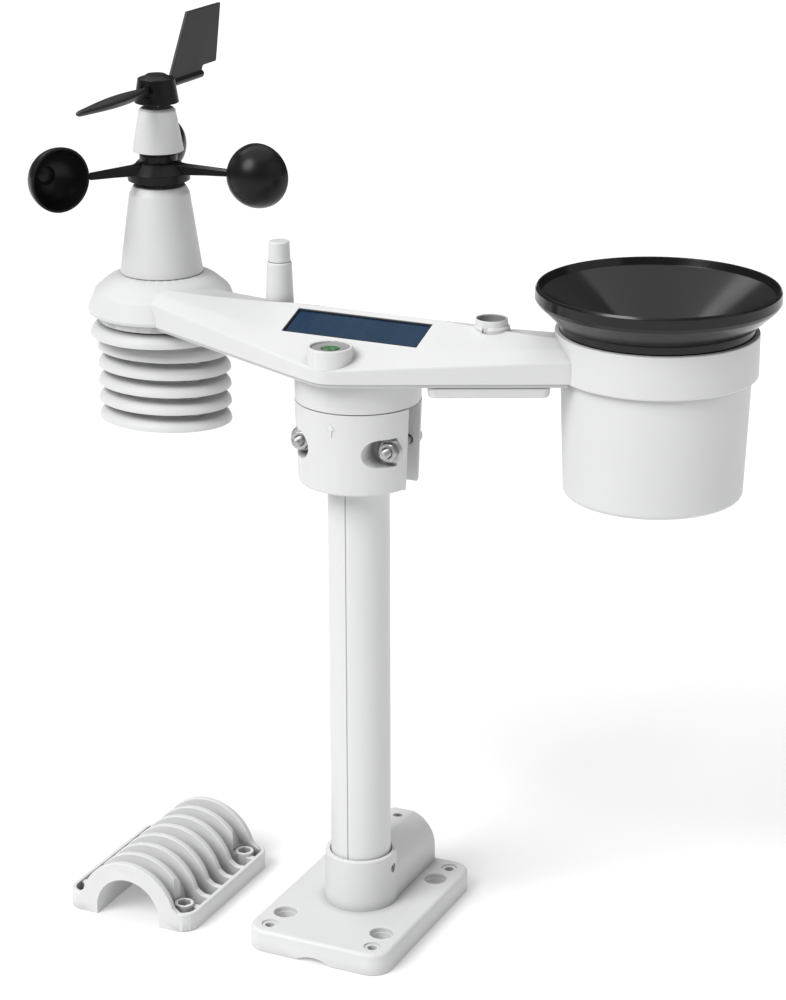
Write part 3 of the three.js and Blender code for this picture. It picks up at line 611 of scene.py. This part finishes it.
def clamp_half(y0, y1, seat, side):
    """Half of a tapered ring, with bolt slots beyond the seat and hollows open at the bottom."""
    spot = place(POLE)
    profile = [(POLE_BORE, 274), (33.6, 274, 1.4), (35.4, 321, 0.5), (POLE_BORE, 321)]
    wall = lathe(profile, at=POLE, sides=160)
    body = common(wall, box(-FAR, FAR, y0, y1, 0, FAR, spot))
    tools = []
    for way in (-1, 1):
        x0, x1 = (SLOT_X, FAR) if way > 0 else (-FAR, -SLOT_X)
        s0, s1 = (seat, FAR) if side > 0 else (-FAR, seat)
        tools.append(box(x0, x1, s0, s1, BOLT_Z - 8, BOLT_Z + 8, spot))
        tools.append(cylinder(8, s0, s1, spot=lying(LIE_Y, spot, way * SLOT_X, 0, BOLT_Z)))
        tools.append(cylinder(2.8, -FAR, FAR, spot=lying(LIE_Y, spot, way * CLAMP_BOLT, 0, BOLT_Z)))
        first, last = sorted((side * TURN / 4, side * TURN / 4 + way * 0.52))
        sector = arc(0, 0, 30.6, first + 0.06, last - 0.06, 12)
        sector += arc(0, 0, 20.4, last - 0.06, first + 0.06, 12)
        tools.append(prism(sector, 0, 317, spot))
    return soften(cut(body, *tools), 0.4)


def clamp_front():
    body = clamp_half(-FAR, -7.5, -15, -1)
    arrow = [(-0.8, -3.6), (0.8, -3.6), (0.8, 0), (2.6, 0), (0, 3.7), (-2.6, 0), (-0.8, 0)]
    raised = arch([(x, z + 312) for x, z in arrow], -35.5, -30, place(POLE))
    return piece("clamp_front_half", join(body, raised), WHITE, 35)


def clamp_bolt(side, name):
    """A pan-head bolt from the back, with a flanged nut on its end at the front."""
    spot = place(POLE) @ Matrix.Translation((side * CLAMP_BOLT, 0, BOLT_Z)) @ LIE_Y
    thread = [(2.5 - 0.4 * (turn % 2), -24.6 + 0.4 * turn) for turn in range(34)]
    bolt = lathe([(0, -25.5), (1.8, -25.5, 0.3), *thread, (2.5, 16), (0, 16)], spot, SMALL, 2)
    head = lathe([(0, 15.3), (4.6, 15.3, 0.2), (4.6, 17.4, 1.6), (2.6, 19.2, 2), (0, 19.2)], spot, SMALL)
    piece(f"clamp_bolt_{name}", join(bolt, cut(head, *cross_slot(17.4, 20, spot))), STEEL, 30)
    round_off = [(0, -20), (4.9, -20), (5.9, -19.4), (5.9, -16), (0, -16)]
    nut = common(prism(hexagon(10), -20, -16, spot), lathe(round_off, spot, SMALL))
    washer = [(0, -16.9), (6.4, -16.7, 0.3), (7.4, -15.9, 0.2), (7.4, -15.3), (0, -15.3)]
    flange = lathe(washer, spot, SMALL)
    bore = [(0, -21), (3.4, -21), (3.4, -20.1), (2.75, -19.2), (2.75, -15), (0, -15)]
    piece(f"clamp_nut_{name}", cut(join(nut, flange), lathe(bore, spot, SMALL)), STEEL, 30)


clamp_front()
piece("clamp_rear_half", clamp_half(8, FAR, 15, 1), WHITE, 35)
clamp_bolt(-1, "left")
clamp_bolt(1, "right")

# ---------------------------------------------------------------- head

HEAD_BOTTOM = 341.6


def front_y(x):
    """The front edge of the swept arms, with a round middle."""
    return -50.7 + 0.473 * math.hypot(x, 6)


def back_y(x):
    """The back edge of the arms, bowed a little."""
    return 38 + 0.075 * abs(x) + 0.00055 * x * x


def head_section(x, inset, floor):
    """The cross-section of the arms at x: floor, back wall, back slope, ridge, solar slope, front."""
    front, back = front_y(x) + inset, back_y(x) - inset
    far = max(0, abs(x) - 45)
    back_top = 358.3 - min(1.2, 0.05 * far) - inset
    ridge = 366.8 - 0.11 * far + 0.0005 * far * far - inset
    corners = [
        (front, floor, 0.4), (back, floor, 0.4), (back, back_top, 2.2),
        (13.5 + 0.15 * far, ridge, 1.5),
        (-14.5 + 0.4 * far, 356.9 + 0.025 * far - inset, 14),
        (front, 349.4 + 0.037 * abs(x) - inset, 1.7),
    ]
    return [(x, y, z) for y, z in rounded(corners, 6)]


def arms(inset, floor):
    """Both arms in one body, drawn through sections that are closer together near the middle."""
    near = [i * 0.75 for i in range(16)]
    half = near + [12 + 4 * i for i in range(1, 36)]
    stations = [-x for x in reversed(half[1:])] + half
    return loft([head_section(x, inset, floor) for x in stations], place(POLE))


def wind_dome(shrink):
    foot = HEAD_BOTTOM - shrink
    return lathe([
        (0, foot), (43.4 - shrink, foot, 0.5), (44 - shrink, 343.6, 1.2), (40 - shrink, 354.4, 4.5),
        (32 - shrink / 2, 361.2 - shrink, 14), (24.9, 364.3 - shrink), (0, 364.3 - shrink),
    ], at=WIND, sides=160)


PANEL = place(POLE) @ Matrix.Translation((0, -1.5, 361.5)) @ Matrix.Rotation(math.atan(0.355), 4, "X")
LEVEL = (POLE[0] + 0.3, POLE[1] - 34.8)
LIGHT = (POLE[0] + 70.5, POLE[1] + 22)
ANTENNA = (POLE[0] - 61, POLE[1] + 25)


def head_cover():
    ring = lathe([(50, 340.3), (55.7, 340.3, 1.3), (55.7, 364.7, 0.8), (50, 364.7)],
                 at=RAIN, sides=192)
    shell = join(arms(0, HEAD_BOTTOM), wind_dome(0), ring)
    cavity = cut(arms(2.8, HEAD_BOTTOM - 1), cylinder(58.1, 0, FAR, RAIN, ROUND))
    cut(shell, cavity, wind_dome(2.8), cylinder(21, 350, FAR, WIND, ROUND),
        cylinder(53.4, 0, FAR, RAIN, 192))
    boss = lathe([(0, 349), (12.9, 349), (12.35, 359.6, 0.7), (0, 359.6)], at=LEVEL)
    join(shell, boss)
    recess = prism(rectangle(41, 11.6, 0.5, 3), -1.6, 6, PANEL)
    cut(
        shell, recess,
        lathe([(0, 358.2), (10.9, 358.2), (10.9, 359.3), (11.3, 359.7), (11.3, 370), (0, 370)], at=LEVEL),
        cylinder(5.6, 352, FAR, LEVEL), cylinder(10.1, 350, FAR, LIGHT), cylinder(8, 350, FAR, ANTENNA),
    )
    return piece("head_cover", shell, WHITE, 30)


def arm_corner(u, v):
    """A point along and across the right arm, from the pole."""
    turn = math.atan(0.473)
    return u * math.cos(turn) - v * math.sin(turn), u * math.sin(turn) + v * math.cos(turn)


def bay(u0, u1, v0, v1, corner, z0, z1, draft=0.0):
    """A rounded block under the right arm, narrower at the bottom by the draft."""
    cu, cv = (u0 + u1) / 2, (v0 + v1) / 2
    rings = []
    for inset, z in ((draft, z0), (0, z1)):
        outline = rectangle((u1 - u0) / 2 - inset, (v1 - v0) / 2 - inset, corner, 6)
        rings.append([(*arm_corner(cu + u, cv + v), z) for u, v in outline])
    return loft(rings, place(POLE))


def head_tray():
    xs = [-150 + 5 * i for i in range(28)] + [i * 1.0 for i in range(-9, 10)]
    xs = sorted(set(xs + [-x for x in xs]))
    front = [(x, front_y(x) + 2.4) for x in xs]
    back = [(x, back_y(x) - 2.4) for x in reversed(xs)]
    body = prism(front + back, 339.2, 341.3, place(POLE))
    neck = lathe([(0, 321.4), (35.1, 321.4, 0.4), (35.5, 340.2), (0, 340.2)], at=POLE, sides=160)
    join(body, cylinder(39.6, 339.2, 341.3, WIND, ROUND), tube(38, 35.5, 336.4, 340.2, WIND), neck)
    cut(
        body,
        cylinder(POLE_BORE, 0, 334.3, POLE, ROUND), cylinder(9, 0, FAR, POLE),
        cylinder(56, 0, FAR, RAIN, 192), cylinder(15, 0, FAR, WIND),
        bay(39.5, 102, -41.2, 2.8, 2, 338, FAR),
    )
    soften(body, 0.35, 2, 50)
    piece("head_tray", cut(body, box(-0.1, 0.1, -36, -35.4, 321.6, 339.0, place(POLE))), WHITE, 35)


head_cover()
head_tray()

# ---------------------------------------------------------------- fittings on the head


def solar_panel():
    frame_piece = cut(prism(rectangle(40.7, 11.3, 0.4, 3), -1.3, -0.3, PANEL),
                      prism(rectangle(39.9, 10.5, 0.3, 3), -1.15, 1, PANEL))
    piece("solar_frame", soften(frame_piece, 0.12, 1), TRIM)
    slab = prism(rectangle(39.8, 10.4, 0.3, 3), -1.1, -0.95, PANEL)
    piece("solar_cell", soften(slab, 0.04, 1), SOLAR)


def spirit_level():
    floor = tube(10.8, 5.4, 358.0, 358.35, LEVEL)
    extra("level_floor", "head_cover", soften(floor, 0.08, 1), PALE_GREY)
    vial = lathe([(0, 352.3), (5.3, 352.3), (5.3, 357.9, 0.4), (4.2, 358.6, 0.8), (1.7, 358.2, 0.3),
                  (1.5, 357.9, 0.2), (0, 357.8)], at=LEVEL)
    piece("level_vial", vial, GREEN)
    lens = lathe([(0, 358.75), (5.0, 358.7, 0.2), (5.1, 359.0, 0.2), (3, 359.7, 3), (0, 359.8)], at=LEVEL)
    piece("level_lens", lens, LENS)


def light_sensor():
    outer = lathe([(8.5, 356.6), (10.4, 356.6), (10.1, 364.6, 1.2), (9.3, 365.6, 0.3), (8.5, 365.6)],
                  at=LIGHT)
    inner = lathe([(0, 357), (8.9, 357), (8.9, 369.1, 0.2), (8.5, 369.3, 0.15), (8.2, 368.6),
                   (8.2, 359.3), (0, 359.3)], at=LIGHT)
    cut(outer, box(-1.5, 1.5, -20, -2, 350, FAR, place(LIGHT)))
    soften(outer, 0.15, 1)
    piece("light_bezel", join(outer, inner), WHITE)
    dish = [(0, 359.5), (8, 359.5), (8, 368.6, 0.15), (7.7, 368.6, 0.1), (6.9, 362.6, 1.5), (0, 361.4)]
    piece("light_diffuser", lathe(dish, at=LIGHT), SENSOR_GREY)


def antenna():
    sleeve = lathe([(0, 359), (7.9, 359), (7.9, 364), (7, 386, 0.5), (6.5, 386.5), (0, 386.5)], at=ANTENNA)
    piece("antenna_sleeve", sleeve, WHITE)
    tip = lathe([(0, 386.8), (6.3, 386.8, 0.2), (5.9, 398.3, 1.1), (0, 398.3)], at=ANTENNA)
    piece("antenna_tip", tip, WHITE)


solar_panel()
spirit_level()
light_sensor()
antenna()

# ---------------------------------------------------------------- battery bay and board


def battery_door():
    body = bay(37.5, 104, -43.2, 4.8, 4, 333, 338.9, 0.6)
    soften(body, 1.1, 3, 50)
    cut(body, bay(39.5, 102, -41.2, 2.8, 2, 335, FAR))
    grip = [bay(96 + 1.6 * i, 96.8 + 1.6 * i, -27, -11, 0.3, 300, 333.35) for i in range(4)]
    return piece("battery_door", cut(body, *grip), WHITE)


def carried(node, material, bevel=0.0):
    """A CAD node that is shown as it is, with softened edges and a material."""
    obj = frame["nodes"][node]
    obj.data.materials.clear()
    obj.data.materials.append(material)
    if bevel:
        modifier = obj.modifiers.new("soften", "BEVEL")
        modifier.width = bevel * MM
        modifier.segments = 2
        modifier.limit_method = "ANGLE"
        modifier.angle_limit = math.radians(38)


battery_door()
for number in (1, 2, 3):
    carried(f"battery_cell_{number}", CELL, 0.4)
carried("main_board", BOARD, 0.1)

# ---------------------------------------------------------------- wind tower and rotor

RACE = 5.3                        # what the shaft turns in
CUP_RADIUS = 18.8
CUP_REACH = 65                    # from the shaft to the middle of a cup
CUP_Z = 427


def cup_angle(number):
    """Which way a cup and its arm point."""
    return math.radians(121.5 + 120 * (number - 1))


def wind_tower():
    body = lathe([
        (18.8, 361), (20.6, 361), (20.6, 364.6), (24.4, 364.6, 0.5), (17.7, 411.6, 2.2),
        (15.2, 416.2, 1.0), (RACE, 416.2), (RACE, 406), (8.5, 406), (8.5, 412), (14.8, 411), (18.8, 370),
    ], at=WIND)
    return piece("wind_tower", body, WHITE)


def cup_arm(angle):
    """A tapered arm with a rounded top, from the hub to its cup."""
    stations = ((9, 4.6, 423.2, 431.2), (15, 3.8, 423.2, 430.4), (19, 2.9, 423.6, 430),
                (30, 2.2, 424.2, 429.6), (45.9, 1.8, 424.8, 429))
    rings = []
    for x, half, low, high in stations:
        section = rounded([(-half, low, 0.5), (half, low, 0.5), (half * 0.72, high - 1.4, 0.6),
                           (0.5, high, 0.4), (-0.5, high, 0.4), (-half * 0.72, high - 1.4, 0.6)], 3)
        rings.append([(x, y, z) for y, z in section])
    return loft(rings, place(WIND, angle))


def rotor_hub():
    ring = lathe([
        (RACE, 421.6), (16.4, 421.6), (16.4, 419.3), (18.2, 419.3, 0.3), (18.2, 424.2, 0.7),
        (12.6, 429.8, 0.6), (11, 430.6), (11, 434.6, 0.4), (RACE, 434.6),
    ], at=WIND)
    wedge = [(10, 424), (17.6, 424), (17.6, 425.6), (11.6, 431.2), (10, 431.2)]
    for number in (1, 2, 3):
        angle = cup_angle(number)
        join(ring, cup_arm(angle))
        join(ring, arch(wedge, -0.5, 0.5, place(WIND, angle + TURN / 6)))
    piece("rotor_hub", ring, BLACK, 30)


def wind_cup(number):
    """A thin half sphere on its side, with a low dome in its floor."""
    axis = lying(LIE_Y, place(WIND, cup_angle(number)), CUP_REACH, 0, CUP_Z)
    outer = arc(0, 0, CUP_RADIUS, -TURN / 4, -0.09, 28)
    inner = arc(0, 0, 17.2, -0.12, -TURN * 0.199, 24)
    profile = outer + [(CUP_RADIUS, -0.5), (18.6, 0), (17.5, 0), (17.2, -0.6)] + inner
    profile += arc(0, -26.0, 11, math.radians(58), TURN / 4, 8)
    piece(f"cup_{number}", lathe(profile, axis, 96), BLACK)


def upper_cone():
    body = lathe([
        (15, 436.3, 0.5), (10.8, 460, 1.4), (9.4, 461.5, 0.6), (2.6, 461.5), (2.6, 459), (5.3, 459),
        (5.3, 447), (8.4, 447), (8.4, 458.6), (9.2, 458.6), (13.4, 436.3, 0.3),
    ], at=WIND)
    piece("upper_cone", body, WHITE)


wind_tower()
rotor_hub()
for number in (1, 2, 3):
    wind_cup(number)
upper_cone()
carried("tower_core", STEEL, 0.3)

# ---------------------------------------------------------------- vane

VANE_Z = 472.5
NOSE = place(WIND, math.radians(-90))
TAIL = place(WIND, math.radians(90))


def vane_hub():
    cap = lathe([
        (0, 466.4), (10.8, 466.4), (10.9, 464.4), (13, 464.4, 0.5), (10.7, 478.4, 0.6),
        (6.2, 480.1, 0.4), (5.5, 480.8, 0.3), (0, 480.8),
    ], at=WIND, sides=96)
    for spot in (NOSE, TAIL):
        cut(cap, cylinder(4.4, 9.4, FAR, edge=0.5, spot=lying(LIE_X, spot, z=VANE_Z)),
            cylinder(2.8, 8.6, FAR, spot=lying(LIE_X, spot, z=VANE_Z)))
    cut(cap, cylinder(1.8, 0, 474, WIND))
    piece("vane_hub", cap, BLACK, 30)


def vane_nose():
    """A leaf-shaped blade on a round stub that ends in a blunt tip."""
    keys = [(8.9, 2.5, 2.5), (13, 2.5, 2.5), (17, 2.7, 2.6), (24, 3.6, 2.9), (32, 4.7, 3.2),
            (42, 5.4, 3.3), (52, 5.5, 3.1), (62, 4.8, 2.7), (72, 3.6, 2.2), (80, 2.6, 1.9),
            (84.5, 2.1, 1.7), (86.3, 1.5, 1.2), (87, 0.6, 0.5)]
    rings = [
        [(x, y, z + VANE_Z) for y, z in oval(half_y, half_z, 40)]
        for x, half_y, half_z in keys
    ]
    piece("vane_nose", subdivide(loft(rings, NOSE)), NOSE_BLACK, 60)


def vane_tail():
    axis = lying(LIE_X, TAIL, z=VANE_Z)
    tip = arc(52, 0, 2.4, 0, TURN / 4, 8)
    rod = lathe([(0, 8.9), (2.4, 8.9)] + [(b, a) for a, b in reversed(tip)], axis, SMALL)
    outline = rounded([(13, 472), (37.5, 511, 0.5), (77.5, 511, 0.5), (70.5, 477.2, 1.2),
                       (54, 477.2, 2.5), (52, 472.5)], 5)
    fin = soften(arch(outline, -0.9, 0.9, TAIL), 0.3, 2)
    piece("vane_tail", join(rod, fin), BLACK, 35)


vane_hub()
vane_nose()
vane_tail()
carried("vane_shaft", STEEL, 0.2)

# ---------------------------------------------------------------- radiation shield

LOUVRES = 6
RODS = [
    (WIND[0] + 29.5 * math.cos(math.radians(a)), WIND[1] + 21 * math.sin(math.radians(a)))
    for a in (90, 210, 330)
]


def louvre_z(number):
    return 328 - 10.6 * (number - 1)


def louvre(number):
    """A flared ring with a crisp lower rim; the first is round, the others are oval."""
    z = louvre_z(number)
    first, last = number == 1, number == LOUVRES
    half_x, half_y, inner, rise = (43, 43, 22, 7.6) if first else (41.5, 33, 16, 7)
    profile = rounded([
        (1.3, 0.05, 0.2), (0, 0, 0.35), (0.5, 0.4 * rise, 6), (2.9, 0.8 * rise, 5), (7.6, rise, 4),
        (inner, rise + 1, 0.2), (inner, rise - 0.8, 0.2), (7.6, rise - 1.8, 2), (4.2, 0.5 * rise, 3),
    ], 5)
    rings = []
    for side in range(ROUND):
        angle = side * TURN / ROUND
        rings.append([
            ((half_x - a) * math.cos(angle), (half_y - a) * math.sin(angle), z + b) for a, b in profile
        ])
    body = loft(rings, place(WIND), loop=True)
    top = 338.9 if first else z + 15.4
    join(body, *[cylinder(4, z + rise - 0.6, top, rod) for rod in RODS])
    if last:
        grille = prism(oval(38, 29.5, 64), z + 2.2, z + 4.2, place(WIND))
        slots = [box(9 * i - 1.6, 9 * i + 1.6, -13, 13, z - 9, z + 9, place(WIND)) for i in range(-2, 3)]
        join(body, cut(grille, *slots))
    cut(body, *[cylinder(2.3, 0, FAR, rod) for rod in RODS])
    piece(f"louvre_{number}", body, WHITE, 40)


def shield_rod(number, rod):
    """A long screw with its head under the lowest louvre."""
    low = louvre_z(LOUVRES)
    head = lathe([(0, low + 0.2), (3.2, low + 0.2, 0.6), (3.6, low + 1.9), (0, low + 1.9)], at=rod)
    body = join(cylinder(2, low + 1, 338.9, rod), head)
    piece(f"shield_rod_{number}", cut(body, *cross_slot(low - 1, low + 0.9, place(rod))), STEEL)


for number in range(1, LOUVRES + 1):
    louvre(number)
for number, rod in enumerate(RODS, 1):
    shield_rod(number, rod)
carried("humidity_probe", PALE_GREY, 0.5)

# ---------------------------------------------------------------- rain gauge


def rain_bucket():
    low = 271.4
    body = lathe([
        (0, low), (49.6, low, 3.2), (53, 363.5, 0.3), (50.8, 363.5, 0.3), (47.9, low + 2.6, 3.5),
        (0, low + 2.6),
    ], at=RAIN, sides=192)
    spot = place(RAIN)
    for side in (-1, 1):
        join(body, box(-4, 4, side * 16 - 1.6, side * 16 + 1.6, low + 1, 311, spot))
        slot = rounded([(-5, -3, 1.5), (5, -3, 1.5), (5, 3, 1.5), (-5, 3, 1.5)], 4)
        cut(body, prism(slot, 0, low + 8, spot @ Matrix.Translation((side * 30, 0, 0))))
    cut(body, cylinder(1.75, -20, 20, spot=lying(LIE_Y, spot, z=306)))
    piece("rain_bucket", body, WHITE)


def rain_funnel():
    body = lathe([
        (48, 352), (50.2, 352, 0.2), (50.2, 365.1), (53.2, 365.1, 0.3), (53.2, 369.2, 0.4),
        (55.2, 370.3, 0.4), (65.6, 380.2, 0.6), (66.9, 382.4, 0.5), (66.6, 387.6, 0.5), (65.6, 388.9, 0.3),
        (64.8, 388.7, 0.3), (63.3, 384.6, 0.5), (3, 346.2, 0.4), (3, 338), (5.2, 338, 0.3), (5.2, 345.2),
        (48, 372.6),
    ], at=RAIN, sides=192, steps=4)
    piece("rain_funnel", body, FUNNEL_BLACK)


rain_bucket()
rain_funnel()
carried("tipping_bucket", TRIM, 0.3)
carried("tipper_axle", STEEL, 0.2)

# ---------------------------------------------------------------- spare half clamp


def tunnel(radius, bottom, y0, y1, spot):
    """A half-round tunnel along Y, with straight sides down to its bottom."""
    outline = [(radius, bottom), *arc(0, 5, radius, 0, TURN / 2, 48), (-radius, bottom)]
    return arch(outline, y0, y1, spot)


def rib_outline():
    """The outline of a rib: a round back that runs down to low feet across the pockets."""
    sweep = rounded([(40.5, 10.6), (34.6, 10.6, 5), (30.6, 13.4, 3), (29.3, 16.8)], 6, closed=False)
    right = [(40.5, 0.5), *[tuple(p) for p in sweep]]
    left = [(-x, z) for x, z in reversed(right)]
    return [*right, *arc(0, 5, 31.6, math.radians(23), math.radians(157), 56), *left]


def spare_clamp():
    """A tray with ribs over a tunnel and four bosses with hexagonal pockets."""
    spot = place(LOOSE)
    half_x, half_y, wall = 42.3, 50.8, 23.6
    ribs, rib_half = 8, 2.0
    pitch = (2 * half_y - 2 * rib_half) / (ribs - 1)
    body = plate(half_x, half_y, 10, 11.5, 0.9, spot)
    trough_x = (half_x - 2.4 - wall) / 2
    for way in (-1, 1):
        middle_x = way * (wall + trough_x)
        outline = [(middle_x + x, y) for x, y in rectangle(trough_x, half_y - 2.4, 7.5)]
        cut(body, prism(outline, 2.4, FAR, spot))
    join(body, tunnel(wall + 0.4, 0.5, -half_y + 0.6, half_y - 0.6, spot))
    column = prism(rectangle(half_x, half_y, 10), 0, 60, spot)
    for index in range(ribs):
        y = -half_y + rib_half + index * pitch
        rib = soften(arch(rib_outline(), y - rib_half, y + rib_half, spot), 0.7, 3, 50)
        join(body, common(rib, duplicate(column)))
    bpy.data.objects.remove(column)
    for sx, sy in CORNERS:
        at = (LOOSE[0] + sx * BOLT_X, LOOSE[1] + sy * BOLT_Y)
        cut(body, cylinder(7.2, 11.5, FAR, at))
        join(body, lathe([(0, 0.5), (5.9, 0.5), (5.7, 12.6, 0.4), (0, 12.6)], at=at))
        cut(body, prism(hexagon(7.4), 6, FAR, place(at)), cylinder(2.6, -1, FAR, at))
    cut(body, tunnel(21, -9, -FAR, FAR, spot))
    piece("spare_clamp", body, WHITE, 35)


spare_clamp()

# ---------------------------------------------------------------- floor, light and camera


def floor():
    """A white floor that glows a little, which keeps it pale around the shadows."""
    mesh = bpy.data.meshes.new("floor")
    mesh.from_pydata([(-9, -9, 0), (9, -9, 0), (9, 9, 0), (-9, 9, 0)], [], [(0, 1, 2, 3)])
    obj = bpy.data.objects.new("floor", mesh)
    bpy.context.scene.collection.objects.link(obj)
    m = Nodes("floor_white", (0.74, 0.74, 0.74), 0.9)
    m.shader.inputs["Specular IOR Level"].default_value = 0
    m.shader.inputs["Emission Color"].default_value = (1, 1, 1, 1)
    m.shader.inputs["Emission Strength"].default_value = 0.2
    mesh.materials.append(m.material)


def world():
    """A studio that is bright overhead and dimmer towards the horizon."""
    studio = bpy.data.worlds.new("studio")
    studio.use_nodes = True
    tree = studio.node_tree
    direction = tree.nodes.new("ShaderNodeTexCoord")
    axes = tree.nodes.new("ShaderNodeSeparateXYZ")
    level = tree.nodes.new("ShaderNodeMapRange")
    level.inputs["From Min"].default_value = -0.1
    level.inputs["From Max"].default_value = 0.9
    level.inputs["To Min"].default_value = HORIZON
    level.inputs["To Max"].default_value = ZENITH
    tree.links.new(direction.outputs["Generated"], axes.inputs["Vector"])
    tree.links.new(axes.outputs["Z"], level.inputs["Value"])
    tree.links.new(level.outputs["Result"], tree.nodes["Background"].inputs["Strength"])
    tree.nodes["Background"].inputs["Color"].default_value = (1, 1, 1, 1)
    bpy.context.scene.world = studio


def sun(name, towards, strength, spread):
    """A far light, with a spread in degrees that softens its shadows."""
    data = bpy.data.lights.new(name, "SUN")
    data.energy = strength
    data.angle = math.radians(spread)
    obj = bpy.data.objects.new(name, data)
    obj.rotation_euler = Vector(towards).to_track_quat("Z", "Y").to_euler()
    bpy.context.scene.collection.objects.link(obj)


def camera():
    """A long lens, 1.5 m away at the front right, that looks down on the station."""
    data = bpy.data.cameras.new("camera")
    data.lens = 97
    data.sensor_width = 36
    obj = bpy.data.objects.new("camera", data)
    obj.location = ((POLE[0] + 624.0) * MM, (POLE[1] - 1286.1) * MM, 757.36 * MM)
    obj.rotation_euler = (math.radians(90 - 19.16), math.radians(0.1), math.radians(25.08))
    bpy.context.scene.collection.objects.link(obj)
    bpy.context.scene.camera = obj


floor()
world()
sun("key", (-0.30, -0.66, 0.69), 2.5, 34)
sun("top", (-0.15, 0.1, 1), 1.1, 80)
sun("left_rim", (-0.70, 0.36, 0.62), 0.2, 24)
sun("right", (0.95, 0, 0.3), 0.4, 60)
camera()
bpy.context.scene.view_settings.view_transform = "Standard"
